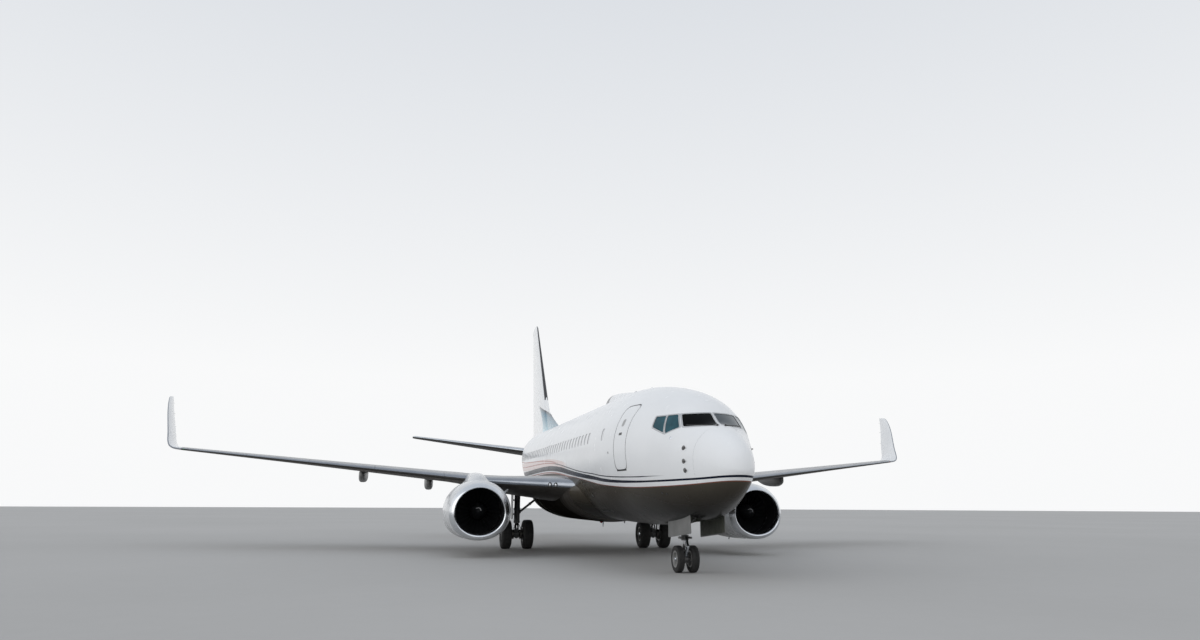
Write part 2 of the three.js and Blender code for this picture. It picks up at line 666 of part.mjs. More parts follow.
const winglet = loft(WINGLET_SECTIONS.map(([x, height, lean, front, chord, thickness]) => {
  const tilt = THREE.MathUtils.degToRad(lean);
  const up = new THREE.Vector3(-Math.sin(tilt), 0, Math.cos(tilt));
  const trailing = point(x, front + chord, height + WINGLET_RISE);
  return sectionRing(point(x, front, height), trailing, up, thickness, WING_CAMBER, 0);
}));
addPair('winglet', winglet, WHITE_PAINT);

// Tail
const rudderSplit = splitAtHinge(finBody, finMiddle, heightLimits, RUDDER, RUDDER_END_GAP);
const dorsal = sidePrism(DORSAL_OUTLINE, -DORSAL_THICKNESS / 2, DORSAL_THICKNESS / 2);
add('fin', rudderSplit.fixed.add(dorsal).subtract(bodyClearance), WHITE_PAINT);
add('rudder', rudderSplit.moving, WHITE_PAINT);

const elevatorSplit = splitAtHinge(tailplaneBody, tailplaneMiddle, spanLimits, ELEVATOR);
addPair('tailplane', elevatorSplit.fixed.subtract(bodyClearance), WING_GREY);
addPair('elevator', elevatorSplit.moving, WING_GREY);

// Engine pieces about their own axis, the lip at y = 0
function duct(profile, grow) {
  const loops = Array.from({ length: ENGINE_SIDES }, (_, k) => {
    const angle = (2 * Math.PI * (k + 0.5)) / ENGINE_SIDES;
    return profile.map(([along, radius, flat]) => {
      const lower = Math.sin(angle) < 0 ? flat : 1;
      return [radius * Math.cos(angle), along, radius * lower * Math.sin(angle)];
    });
  });
  const count = profile.length;
  const index = [];
  for (let k = 0; k < ENGINE_SIDES; k += 1) {
    const next = (k + 1) % ENGINE_SIDES;
    for (let i = 0; i < count; i += 1) {
      const j = (i + 1) % count;
      index.push(k * count + i, k * count + j, next * count + i);
      index.push(k * count + j, next * count + j, next * count + i);
    }
  }
  const geometry = new THREE.BufferGeometry();
  geometry.setAttribute('position', new THREE.Float32BufferAttribute(loops.flat(2), 3));
  geometry.setIndex(index);
  return toSolid(geometry);
}

function fanBlade(angle) {
  const axis = new THREE.Vector3(0, 1, 0);
  const middle = (FAN_FRONT + FAN_BACK) / 2;
  const across = Math.sin(FAN_PITCH);
  const along = Math.cos(FAN_PITCH);
  return loft(BLADE_ENDS.map(([radius, half, reach]) => {
    const corners = [[reach, half], [reach, -half], [-reach, -half], [-reach, half]];
    return corners.map(([chordwise, through]) => {
      const x = chordwise * across + through * along;
      const y = middle + chordwise * along - through * across;
      return new THREE.Vector3(x, y, radius).applyAxisAngle(axis, angle);
    });
  }));
}

const inletCowl = duct(INLET_PROFILE);
const fanCowl = duct(FAN_COWL_PROFILE);
const engineCore = toSolid(turned(CORE_PROFILE, ENGINE_SIDES));
const bladeAngle = (k) => (2 * Math.PI * (k + 0.3)) / FAN_BLADES;
const blades = Array.from({ length: FAN_BLADES }, (_, k) => fanBlade(bladeAngle(k)));
const fan = union([toSolid(turned(SPINNER_PROFILE, ENGINE_SIDES)), ...blades]);

// Pylon: cut clear of the cowls, the core and the wing
const grownProfile = (profile, middle) => profile.map(([along, radius, flat]) => {
  const outward = radius > middle ? 1 : -1;
  const ends = profile.map((row) => row[0]);
  const aft = (along === Math.max(...ends)) - (along === Math.min(...ends));
  return [along + aft, radius + outward, flat];
});
const placed = (solid) => {
  const geometry = toGeometry(solid).translate(ENGINE_X, toY(LIP_STATION), ENGINE_HEIGHT);
  return toSolid(geometry);
};
const grownCore = CORE_PROFILE.map(([along, radius]) => [along, radius + (radius > 0 ? 1 : 0)]);
const coreClearance = toSolid(turned(grownCore, ENGINE_SIDES));
const pylonRaw = sidePrism(PYLON_OUTLINE, ENGINE_X - PYLON_WIDTH / 2, ENGINE_X + PYLON_WIDTH / 2);
const pylon = without(pylonRaw, [
  placed(duct(grownProfile(INLET_PROFILE, INLET_MIDDLE))),
  placed(duct(grownProfile(FAN_COWL_PROFILE, COWL_MIDDLE))),
  placed(coreClearance), wingBody(GAP),
]);
addPair('pylon', pylon, WHITE_PAINT);

[['left', 1], ['right', -1]].forEach(([label, side]) => {
  const engine = new THREE.Group();
  engine.position.set(side * ENGINE_X, toY(LIP_STATION), ENGINE_HEIGHT);
  add(`inlet_cowl_${label}`, inletCowl, BARE_METAL, engine);
  add(`fan_cowl_${label}`, fanCowl, WHITE_PAINT, engine);
  add(`engine_core_${label}`, engineCore, DARK_METAL, engine);
  add(`fan_${label}`, fan, FAN_METAL, engine);
  aircraft.add(engine);
});

// Wheels: two rims on one axle, and a tyre, about +X
function wheelPair({ halfAxle, hub, rim, inner, outer, axle }) {
  const half = [
    [halfAxle, 0], [halfAxle, hub], [outer - 0.25 * rim, hub], [outer - 0.25 * rim, 0.7 * rim],
    [outer, 0.94 * rim], [outer, rim], [inner, rim], [inner, axle],
  ];
  const other = half.map(([along, radius]) => [-along, radius]).reverse();
  return turnedWheel([...half, ...other], WHEEL_SIDES);
}

function tyre(radius, width, bore) {
  const vertexRadius = radius / Math.cos(Math.PI / WHEEL_SIDES);
  const rise = vertexRadius - bore;
  const half = width / 2;
  const side = [
    [half * 0.84, bore], [half, bore + rise * 0.5], [half * 0.86, bore + rise * 0.88],
    [half * 0.5, vertexRadius],
  ];
  const other = side.map(([along, r]) => [-along, r]).reverse();
  return turnedWheel([...side, ...other, side[0]], WHEEL_SIDES);
}

// Nose gear
const noseY = NOSE_GEAR_STATION;
const noseInner = NOSE_WELL.halfWidth - GAP;
const noseCross = (station, height, radius) =>
  rod(point(-noseInner, station, height), point(noseInner, station, height), radius);
const noseBrace = (side) =>
  rod(point(side * 60, noseY - 40, 1180), point(side * 220, NOSE_BRACE.station, NOSE_BRACE.height), 26);
const pistonBore = rod(point(0, noseY, NOSE_LEG_BOTTOM - 50), point(0, noseY, NOSE_PISTON_TOP + 50),
  NOSE_PISTON_BORE, NOSE_PISTON_BORE, 12);
const noseLeg = union([
  rod(point(0, noseY, NOSE_LEG_BOTTOM), point(0, noseY, NOSE_LEG_TOP), NOSE_LEG_RADIUS),
  noseCross(noseY, NOSE_LEG_TOP, 50), noseCross(NOSE_BRACE.station, NOSE_BRACE.height, 30),
  noseBrace(-1), noseBrace(1),
]).subtract(pistonBore);
add('nose_gear_leg', noseLeg, GEAR_PAINT);

const noseAxleRadius = 40;
const noseLinkOutline = [[noseY - 40, 930], [noseY - 230, 690], [noseY - 230, 640], [noseY - 40, 400],
  [noseY - 40, 470], [noseY - 175, 665], [noseY - 40, 850]];
const noseAxis = (reach, radius, sides) =>
  rod(point(-reach, noseY, NOSE_TYRE_RADIUS), point(reach, noseY, NOSE_TYRE_RADIUS), radius, radius, sides);
const towFitting = boxBetween(
  point(-60, noseY - 125, NOSE_TYRE_RADIUS - 45), point(60, noseY - 60, NOSE_TYRE_RADIUS + 45));
const noseJackPad = boxBetween(
  point(-60, noseY - 60, NOSE_TYRE_RADIUS - 105), point(60, noseY + 60, NOSE_TYRE_RADIUS - 60));
const noseSteering = union([
  rod(point(0, noseY, NOSE_TYRE_RADIUS), point(0, noseY, NOSE_PISTON_TOP), NOSE_PISTON_RADIUS),
  rod(point(0, noseY, 810), point(0, noseY, 955), 100),
  noseAxis(70, 85, 10), sidePrism(noseLinkOutline, -30, 30), towFitting, noseJackPad,
]).subtract(noseAxis(200, noseAxleRadius + LINE_GAP, 12));
add('nose_gear_steering', noseSteering, BARE_METAL);

[['left', 1], ['right', -1]].forEach(([label, side]) => {
  const inner = noseInner - NOSE_DOOR_THICKNESS;
  const xs = side > 0 ? [inner, noseInner] : [-noseInner, -inner];
  add(`nose_gear_door_${label}`, sidePrism(NOSE_DOOR_OUTLINE, ...xs), WHITE_PAINT);
});

const noseWheels = new THREE.Group();
noseWheels.position.set(0, toY(noseY), NOSE_TYRE_RADIUS);
add('nose_wheel_rims', wheelPair({
  halfAxle: 292, hub: 60, rim: 200, inner: 118, outer: 282, axle: noseAxleRadius,
}), GEAR_PAINT, noseWheels);
aircraft.add(noseWheels);

[['left', 1], ['right', -1]].forEach(([label, side]) => {
  const wheel = new THREE.Group();
  wheel.position.set((side * NOSE_TYRE_SPACING) / 2, 0, 0);
  add(`nose_tyre_${label}`, tyre(NOSE_TYRE_RADIUS, 197, 200 + GAP), TYRE_RUBBER, wheel);
  noseWheels.add(wheel);
});

// Main gear: leg with its side strut, torque links and the plate door on its outer side
const mainY = MAIN_GEAR_STATION;
const mainAxleRadius = 60;
const mainLinkOutline = [[mainY + 60, 1180], [mainY + 60, 1090], [mainY + 330, 885], [mainY + 60, 700],
  [mainY + 60, 610], [mainY + 420, 850], [mainY + 420, 920]];
const mainDoorOutline = [[mainY - 330, 2180], [mainY - 330, 1300], [mainY - 250, 1150], [mainY + 250, 1150],
  [mainY + 330, 1300], [mainY + 330, 2200]];
const legX = MAIN_GEAR_X;
const legRod = (start, end, radius) => rod(point(...start), point(...end), radius, radius, 12);
const upright = (from, to, radius) => legRod([legX, mainY, from], [legX, mainY, to], radius);
const lengthwise = (x, height, { from, to }, radius) =>
  rod(point(x, from + GAP, height), point(x, to - GAP, height), radius);
const mainAxis = (reach, radius) =>
  legRod([legX - reach, mainY, MAIN_TYRE_RADIUS], [legX + reach, mainY, MAIN_TYRE_RADIUS], radius);
const doorArm = (height) =>
  rod(point(legX, mainY, height), point(legX + MAIN_DOOR.inner + 10, mainY, height), 35);
const mainLeg = union([
  upright(1000, MAIN_LEG_TOP, 120), upright(MAIN_TYRE_RADIUS, 1010, 88),
  lengthwise(legX, MAIN_LEG_TOP, MAIN_BAY, 70), mainAxis(100, 130),
  boxBetween(point(legX - 60, mainY - 60, 400), point(legX + 60, mainY + 60, 470)),
  sidePrism(mainLinkOutline, legX - 45, legX + 45),
  rod(point(legX - 80, mainY, 1420), point(SIDE_STRUT.x, mainY, SIDE_STRUT.height), 45),
  lengthwise(SIDE_STRUT.x, SIDE_STRUT.height, MAIN_TROUGH, 40),
  sidePrism(mainDoorOutline, legX + MAIN_DOOR.inner, legX + MAIN_DOOR.outer),
  doorArm(1900), doorArm(1350),
]).subtract(mainAxis(300, mainAxleRadius + LINE_GAP));
addPair('main_gear_leg', mainLeg, GEAR_PAINT);

[['left', 1], ['right', -1]].forEach(([label, side]) => {
  const wheels = new THREE.Group();
  wheels.position.set(side * MAIN_GEAR_X, toY(mainY), MAIN_TYRE_RADIUS);
  add(`main_wheel_rims_${label}`, wheelPair({
    halfAxle: 600, hub: 95, rim: 265, inner: 235, outer: 590, axle: mainAxleRadius,
  }), GEAR_PAINT, wheels);
  [['inner', -1], ['outer', 1]].forEach(([place, direction]) => {
    const wheel = new THREE.Group();
    wheel.position.set((side * direction * MAIN_TYRE_SPACING) / 2, 0, 0);
    add(`main_tyre_${place}_${label}`, tyre(MAIN_TYRE_RADIUS, 420, 265 + GAP), TYRE_RUBBER, wheel);
    wheels.add(wheel);
  });
  aircraft.add(wheels);
});

export default aircraft;
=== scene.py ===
import math

import bpy
import numpy as np
from mathutils import Matrix, Vector


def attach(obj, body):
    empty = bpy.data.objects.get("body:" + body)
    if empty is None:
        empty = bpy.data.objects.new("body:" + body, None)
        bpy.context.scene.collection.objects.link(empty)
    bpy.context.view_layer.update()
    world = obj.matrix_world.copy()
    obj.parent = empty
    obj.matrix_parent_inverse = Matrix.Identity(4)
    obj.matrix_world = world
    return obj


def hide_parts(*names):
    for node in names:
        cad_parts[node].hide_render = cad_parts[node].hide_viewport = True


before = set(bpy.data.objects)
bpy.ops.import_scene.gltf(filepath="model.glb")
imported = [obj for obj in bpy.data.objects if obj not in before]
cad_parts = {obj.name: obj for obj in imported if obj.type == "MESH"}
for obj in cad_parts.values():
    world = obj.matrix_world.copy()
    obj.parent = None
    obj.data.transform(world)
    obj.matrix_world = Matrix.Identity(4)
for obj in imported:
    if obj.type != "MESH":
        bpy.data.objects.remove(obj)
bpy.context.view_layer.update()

HALF_LENGTH = 16.815
SIDES = ((1, "left"), (-1, "right"))

# Body: its keel line stands KEEL_HEIGHT over the ground at LEVEL_STATION and tips nose down by ATTITUDE
KEEL_HEIGHT = 1.18
LEVEL_STATION = 8.0
ATTITUDE = 0.017
BODY_END = 32.18
RADOME_SEAM = 1.12
SEAM = 0.006
DOOR_THICKNESS = 0.11

# Body sections: station, then crown, keel, half width and height of the widest point over the keel line
BODY_SECTIONS = np.array([
    (0.0, 1.443, 1.443, 0.0, 1.443), (0.03, 1.665, 1.335, 0.14, 1.448), (0.1, 1.817, 1.249, 0.25, 1.465),
    (0.3, 2.039, 1.02, 0.421, 1.508), (0.6, 2.233, 0.819, 0.555, 1.573), (1.12, 2.465, 0.592, 0.748, 1.683),
    (1.4, 2.568, 0.493, 0.861, 1.736), (1.8, 2.852, 0.366, 1.022, 1.802), (2.3, 3.192, 0.27, 1.212, 1.88),
    (2.8, 3.401, 0.207, 1.401, 1.939), (3.5, 3.6, 0.142, 1.588, 2.02), (4.5, 3.8, 0.08, 1.771, 2.09),
    (5.5, 3.93, 0.04, 1.851, 2.12), (6.7, 3.995, 0.008, 1.88, 2.13), (8.5, 4.01, 0.0, 1.88, 2.13),
    (20.5, 4.01, 0.0, 1.88, 2.13), (22.0, 4.01, 0.11, 1.86, 2.21), (24.0, 4.01, 0.51, 1.74, 2.46),
    (26.0, 4.005, 1.09, 1.48, 2.71), (28.0, 3.97, 1.73, 1.13, 2.96), (30.0, 3.81, 2.41, 0.73, 3.16),
    (31.2, 3.69, 2.83, 0.44, 3.27), (BODY_END, 3.53, 3.11, 0.19, 3.32),
])
FAIRING_LIFT = 0.003
# Station ahead, station behind and height within which the fairing is dark and matt, grime with painted
# shade, and how far in each darker step starts
GRIME_AND_SHADE_SPACE = (10.7, 18.6, 2.25)
GRIME_AND_SHADE_STEP = 0.3
# Stations between which the body is a plain tube
TUBE = (8.5, 20.5)
NOSE_RINGS = 80
BODY_SIDES = 128
TIP_START = 0.0004

# Wing to body fairing: station, half width, centre height, height above and below the centre
FAIRING_SECTIONS = np.array([
    (9.5, 1.35, 2.15, 0.5, 0.78), (10.3, 1.7, 2.16, 0.56, 0.9), (11.3, 1.96, 2.18, 0.62, 1.02),
    (12.6, 2.06, 2.2, 0.65, 1.08), (17.6, 2.08, 2.23, 0.65, 1.08), (19.0, 1.96, 2.28, 0.6, 1.0),
    (20.2, 1.65, 2.33, 0.5, 0.85), (20.9, 1.3, 2.36, 0.4, 0.7),
])
FAIRING_SIDES = 96

# The wing's middle line is bent down at the root, and up from the second of these span positions outwards
ROOT_CAMBER = -0.012
WING_CAMBER = 0.014
CAMBER_POSITIONS = (3.6, 5.4)
EDGE_HALF_THICKNESS = 0.007
SPAN_STEP = 0.4
FIN_STEP = 0.2
# Lifting surfaces: span position, leading and trailing edge station, their heights, thickness share
WING_SECTIONS = np.array([
    (1.2, 10.01, 18.23, 2.31, 2.37, 0.119), (1.95, 10.85, 18.3, 2.36, 2.42, 0.119),
    (4.4, 13.6, 18.33, 2.54, 2.61, 0.114), (5.75, 14.4, 18.35, 2.7, 2.79, 0.102),
    (12.0, 17.836, 20.395, 3.418, 3.495, 0.09), (16.6, 20.365, 21.92, 3.943, 4.0, 0.086),
])
TAILPLANE_SECTIONS = np.array([
    (0.25, 27.37, 31.65, 4.52, 4.6, 0.1), (1.2, 28.0, 31.9, 4.66, 4.73, 0.1),
    (7.0, 31.88, 33.565, 5.575, 5.605, 0.09), (7.175, 32.09, 33.63, 5.6, 5.632, 0.06),
])
# Fin: height, leading and trailing edge station, thickness share
FIN_SECTIONS = np.array([
    (5.05, 25.55, 32.15, 0.088), (7.04, 27.2, 32.52, 0.086), (12.4, 31.56, 33.39, 0.084),
    (12.57, 31.85, 33.34, 0.06),
])
# Fin's forward foot: station and height of its edge, then how far down and share of the half width
DORSAL_LINE = [(22.9, 5.45), (24.35, 5.9), (25.47, 6.28), (26.49, 6.72), (27.6, 7.6)]
DORSAL_SECTION = [(0.02, 0.12), (0.08, 0.25), (0.25, 0.5), (0.6, 0.85)]
DORSAL_FOOT = 5.25
# The leading edge strip of the fin starts at this height
STRIP_FOOT = 7.5
# Winglet: x, height, lean of the panel from level, leading edge station, chord, thickness share
WINGLET_SECTIONS = np.array([
    (16.6003, 3.943, 0, 20.365, 1.555, 0.086), (16.93, 3.995, 18, 20.545, 1.505, 0.085),
    (17.16, 4.11, 45, 20.74, 1.43, 0.085), (17.295, 4.32, 68, 20.95, 1.35, 0.085),
    (17.37, 4.56, 75, 21.15, 1.28, 0.085), (17.87, 6.34, 75, 22.57, 0.64, 0.08),
    (17.888, 6.41, 75, 22.72, 0.5, 0.06),
])
WINGLET_RISE = 0.057

# Hinged surfaces: where the hinge line starts and ends along the span, and its share of the chord
AILERON = (12.65, 16.3, 0.76)
ELEVATOR = (1.5, 6.75, 0.7)
RUDDER = (5.6, 12.15, 0.68)
RUNNING_GAP = 0.014
END_GAP = 0.032
RUDDER_END_GAP = 0.075

# Flaps and spoilers in plan: the front edge's span position and station, inboard then outboard
FLAP_INBOARD = ((2.16, 17.21), (5.15, 17.37))
FLAP_OUTBOARD = ((5.9, 17.47), (12.35, 19.92))
SPOILERS = ((6.3, 17.02), (11.9, 19.15))
SPOILER_CHORD = 0.572
SPOILER_DEPTH = 0.07
SPOILER_SEAMS = (7.7, 9.1, 10.5)

# Flap track fairings: span position, nose station, length, half width, depth
TRACK_FAIRINGS = [
    (3.75, 16.3, 2.95, 0.175, 0.35), (6.4, 16.45, 3.0, 0.175, 0.35), (9.02, 17.0, 2.9, 0.17, 0.34),
]
TRACK_SHAPE = np.array([
    (0, 0.03), (0.03, 0.4), (0.1, 0.7), (0.25, 0.95), (0.45, 1.0), (0.65, 0.9), (0.85, 0.58), (0.95, 0.28),
    (1, 0.05),
])
TRACK_RINGS = 32
TRACK_SIDES = 28
# How far the tail hangs down, the top reaches up and the centre lies deep, and how square the section is
TRACK_DROOP = 0.06
TRACK_TOP = 0.03
TRACK_SINK = 0.3
TRACK_ROUND = 0.6

# Slats: first span position, share of the chord, the groove behind them in two parts, gaps across them
SLATS_FROM = 5.0
SLAT_SHARE = 0.13
SLAT_GROOVES = ((5.9, 11.98), (12.02, 16.3))
SLAT_ENDS = (5.9, 8.5, 11.1, 13.7, 16.3)
GROOVE = 0.008

# Engines
ENGINE_X = 4.85
ENGINE_HEIGHT = 1.5
LIP_STATION = 10.37
COWL_SPLIT = 1.0
FAN_TIP = 0.768
FAN_HUB = 0.27
BLADES = 24
VANES = 28

# Gear
NOSE_GEAR_STATION = 4.01
NOSE_TYRE = (0.343, 0.197, 0.2)
NOSE_WHEEL_X = 0.2
MAIN_GEAR_STATION = 16.61
MAIN_GEAR_X = 2.86
MAIN_TYRE = (0.565, 0.42, 0.265)
MAIN_WHEEL_X = 0.432
MAIN_RIM_X = 0.4125

# Points of a rounded corner and of a bar's round end, a round solid's least radius, the angle over which
# edges of small round parts stay sharp, and how narrow a face has to be to have no normal of its own
CORNER_POINTS = 5
END_POINTS = 12
LEAST_RADIUS = 0.0004
SOFT_ANGLE = 50
SLIVER_WIDTH = 0.005
# Sizes beyond everything that they are cut against
HALF_SPACE = 8
FAR = 40
# Axes of a view: the outline's two, then the one that the solid reaches along
AXES = {"side": (1, 2, 0), "plan": (0, 1, 2), "front": (0, 2, 1)}
UP, LEFT = np.array((0, 0, 1.0)), np.array((1.0, 0, 0))
CHORD_SHARES = (1 - np.cos(np.linspace(0, math.pi, 30))) / 2


# Numbers and outlines
def attitude(station):
    return KEEL_HEIGHT + ATTITUDE * (station - LEVEL_STATION)


def smooth_rows(table, positions, warp=lambda x: x):
    """Rows of a table at positions between its own, on a cubic that never overshoots."""
    knots, at = warp(table[:, 0]), warp(np.asarray(positions, float))
    width = np.diff(knots)[:, None]
    rise = np.diff(table, axis=0) / width
    before, after = 2 * width[1:] + width[:-1], width[1:] + 2 * width[:-1]
    slopes = np.vstack([rise[:1], np.zeros((len(table) - 2, table.shape[1])), rise[-1:]])
    same = rise[1:] * rise[:-1] > 0
    with np.errstate(divide="ignore", invalid="ignore"):
        mean = (before + after) / (before / rise[:-1] + after / rise[1:])
    slopes[1:-1] = np.where(same, mean, 0)
    k = np.clip(np.searchsorted(knots, at) - 1, 0, len(knots) - 2)
    t, h = ((at - knots[k]) / width[k, 0])[:, None], width[k]
    return ((1 + 2 * t) * (1 - t) ** 2 * table[k] + t * (1 - t) ** 2 * h * slopes[k]
            + t * t * (3 - 2 * t) * table[k + 1] + t * t * (t - 1) * h * slopes[k + 1])


def straight_rows(table, positions):
    return np.array([np.interp(positions, table[:, 0], column) for column in table.T]).T


def steps(low, high, size):
    return np.linspace(low, high, max(2, int(math.ceil((high - low) / size)) + 1))


def span_steps(table, size):
    """Positions along a table, its own rows among them."""
    parts = [steps(a, b, size)[:-1] for a, b in zip(table[:-1, 0], table[1:, 0])]
    return np.append(np.concatenate(parts), table[-1, 0])


def turns_of(count):
    """Angles all round, evenly spaced."""
    return np.linspace(0, 2 * math.pi, count, endpoint=False)


def reach_along(points):
    """Distance along a line of points, at each of them."""
    return np.concatenate([[0], np.cumsum(np.linalg.norm(np.diff(points, axis=0), axis=1))])


def station_ring(x, station, z):
    """Points of a ring at one station."""
    return np.column_stack([x, np.full(len(x), station), z])


def rounded(outline, radius):
    """An outline with each corner turned into an arc that starts about radius before it."""
    outline = np.asarray(outline, float)
    points = []
    for before, corner, after in zip(np.roll(outline, 1, 0), outline, np.roll(outline, -1, 0)):
        reach_in = min(radius, np.linalg.norm(before - corner) / 2.05)
        reach_out = min(radius, np.linalg.norm(after - corner) / 2.05)
        start = corner + (before - corner) / np.linalg.norm(before - corner) * reach_in
        end = corner + (after - corner) / np.linalg.norm(after - corner) * reach_out
        for t in np.linspace(0, 1, CORNER_POINTS):
            points.append((1 - t) ** 2 * start + 2 * t * (1 - t) * corner + t * t * end)
    return np.array(points)


def box_outline(low, high, radius, grow=0.0):
    (a, b), (c, d) = (low[0] - grow, high[0] + grow), (low[1] - grow, high[1] + grow)
    return rounded([(a, c), (b, c), (b, d), (a, d)], radius)


def grown(outline, margin):
    """A convex outline pushed out by margin."""
    outline = np.asarray(outline, float)
    centre = outline.mean(0)
    edges = np.roll(outline, -1, 0) - outline
    normals = np.stack([edges[:, 1], -edges[:, 0]], 1) / np.linalg.norm(edges, axis=1)[:, None]
    if ((outline - centre) * normals).sum() < 0:
        normals = -normals
    points = []
    for k in range(len(outline)):
        n, m = normals[k - 1], normals[k]
        points.append(outline[k] + (n + m) * margin / (1 + n @ m))
    return np.array(points)


# Meshes
def new_piece(name, points, faces, angle=35):
    mesh = bpy.data.meshes.new(name)
    points = np.asarray(points, float).reshape(-1, 3) - (0, HALF_LENGTH, 0)
    mesh.from_pydata(points.tolist(), [], [tuple(int(i) for i in face) for face in faces])
    mesh.calc_loop_triangles()
    corners = values_of(mesh.loop_triangles, "vertices", 3, np.int32)
    a, b, c = points[corners].transpose(1, 0, 2) - points.mean(0)
    if (a * np.cross(b, c)).sum() < 0:
        mesh.flip_normals()
    piece = bpy.data.objects.new(name, mesh)
    bpy.context.scene.collection.objects.link(piece)
    return shade(piece, angle)


def values_of(items, name, width=1, kind=float):
    """One value of each of a mesh's items, such as its faces, as an array."""
    values = np.empty(len(items) * width, kind)
    items.foreach_get(name, values)
    return values.reshape(-1, width) if width > 1 else values


def shade(piece, angle):
    piece.data.shade_smooth()
    piece.data.set_sharp_from_angle(angle=math.radians(angle))
    return piece


def ring_faces(rings, count, closed=False):
    """Faces of a skin over rings of equal point counts, ring after ring."""
    r, k = np.meshgrid(np.arange(rings if closed else rings - 1), np.arange(count), indexing="ij")
    here, nxt = r * count, ((r + 1) % rings) * count
    after = (k + 1) % count
    return np.stack([here + k, here + after, nxt + after, nxt + k], -1).reshape(-1, 4).tolist()


def loft(name, rings, angle=35):
    """Closed skin over rings of equal point counts, its two ends flat."""
    rings = np.asarray(rings, float)
    count = rings.shape[1]
    faces = ring_faces(len(rings), count)
    faces += [list(range(count))[::-1], [len(rings) * count - count + k for k in range(count)]]
    return new_piece(name, rings, faces, angle)


def loop_loft(name, rings):
    """Skin over rings that come back to the first, as round an engine."""
    rings = np.asarray(rings, float)
    return new_piece(name, rings, ring_faces(len(rings), rings.shape[1], closed=True))


def prism(outline, view, low, high, name="cutter"):
    """Solid over an outline seen from the side, in plan or from the front."""
    first, second, depth = AXES[view]
    points = np.zeros((2, len(outline), 3))
    points[:, :, first] = np.asarray(outline)[:, 0]
    points[:, :, second] = np.asarray(outline)[:, 1]
    points[0, :, depth], points[1, :, depth] = low, high
    return loft(name, points)


def frame_about(direction):
    """Two directions square to this one and to each other."""
    along = np.asarray(direction, float) / np.linalg.norm(direction)
    helper = np.array((0, 0, 1.0)) if abs(along[2]) < 0.9 else np.array((1.0, 0, 0))
    side = np.cross(helper, along)
    side /= np.linalg.norm(side)
    return along, side, np.cross(along, side)


def turned(name, profile, start, direction, sides=32, angle=35):
    """Round solid about a line: the profile holds distance along it and radius, ends on the line left out."""
    along, side, up = frame_about(direction)
    turns = turns_of(sides) + math.pi / sides
    circle = np.cos(turns)[:, None] * side + np.sin(turns)[:, None] * up
    rings = [np.asarray(start) + along * distance + circle * max(radius, LEAST_RADIUS)
             for distance, radius in profile]
    return loft(name, rings, angle)


def revolved(name, outline, start, direction, sides=64):
    """Ring about a line, from a closed outline of distance along it and radius."""
    along, side, up = frame_about(direction)
    rings = []
    for turn in turns_of(sides):
        out = math.cos(turn) * side + math.sin(turn) * up
        rings.append([np.asarray(start) + along * distance + out * radius for distance, radius in outline])
    return loop_loft(name, rings)


def rod(start, end, radius, bevel=0.15, sides=20, end_radius=None):
    """Round bar with softened ends."""
    start, end = np.asarray(start, float), np.asarray(end, float)
    length, soft = np.linalg.norm(end - start), radius * bevel
    last = radius if end_radius is None else end_radius
    profile = [(0, radius - soft), (soft, radius), (length - soft, last), (length, last - soft)]
    return turned("rod", profile, start, end - start, sides, SOFT_ANGLE)


def tube(points, radius, sides=10):
    """Pipe or hose of one radius along a smooth line through points."""
    points = np.asarray(points, float)
    reach = reach_along(points)
    table = np.column_stack([reach, points])
    fine = smooth_rows(table, steps(0, reach[-1], radius * 3))[:, 1:]
    tangents = np.gradient(fine, axis=0)
    _, side, _ = frame_about(tangents[0])
    turns = turns_of(sides)
    rings = []
    for point, tangent in zip(fine, tangents):
        tangent = tangent / np.linalg.norm(tangent)
        side = side - tangent * (side @ tangent)
        side /= np.linalg.norm(side)
        up = np.cross(tangent, side)
        rings.append(point + radius * (np.cos(turns)[:, None] * side + np.sin(turns)[:, None] * up))
    return loft("tube", rings, SOFT_ANGLE)


def block(low, high, bevel):
    """Box with softened edges."""
    low, high = np.minimum(low, high), np.maximum(low, high)
    soft = bevel * 0.6
    outline = box_outline(low[:2], high[:2], bevel)
    inner = box_outline(low[:2] + soft, high[:2] - soft, bevel)
    levels = [(inner, low[2]), (outline, low[2] + soft), (outline, high[2] - soft), (inner, high[2])]
    rings = [np.column_stack([ring, np.full(len(ring), height)]) for ring, height in levels]
    return loft("block", rings, SOFT_ANGLE)


def capsule(start, end, start_radius, end_radius):
    """Outline of a bar with round ends of two sizes."""
    start, end = np.asarray(start, float), np.asarray(end, float)
    heading = math.atan2(*(end - start)[::-1])
    points = []
    for centre, radius, turn in ((end, end_radius, -0.5), (start, start_radius, 0.5)):
        for t in np.linspace(turn, turn + 1, END_POINTS) * math.pi + heading:
            points.append(centre + radius * np.array((math.cos(t), math.sin(t))))
    return np.array(points)


def plate(corners, thickness):
    """Flat panel between corners in space, of one thickness."""
    corners = np.asarray(corners, float)
    normal = np.cross(corners[1] - corners[0], corners[2] - corners[0])
    normal *= thickness / 2 / np.linalg.norm(normal)
    return loft("plate", [corners - normal, corners + normal])


def drop(*pieces):
    for piece in pieces:
        bpy.data.objects.remove(piece)


def copy_of(piece):
    other = piece.copy()
    other.data = piece.data.copy()
    bpy.context.scene.collection.objects.link(other)
    return other


def baked(piece):
    """The piece with its modifiers worked into its mesh."""
    graph = bpy.context.evaluated_depsgraph_get()
    mesh = bpy.data.meshes.new_from_object(piece.evaluated_get(graph))
    piece.modifiers.clear()
    piece.data = mesh
    return piece


def cut(piece, operation, *cutters):
    """DIFFERENCE, INTERSECT or UNION with each cutter in turn, which is then dropped."""
    for cutter in cutters:
        modifier = piece.modifiers.new("cut", "BOOLEAN")
        modifier.operation = operation
        modifier.solver = "MANIFOLD"
        modifier.object = cutter
        modifier.material_mode = "TRANSFER"
    baked(piece)
    drop(*cutters)
    return piece


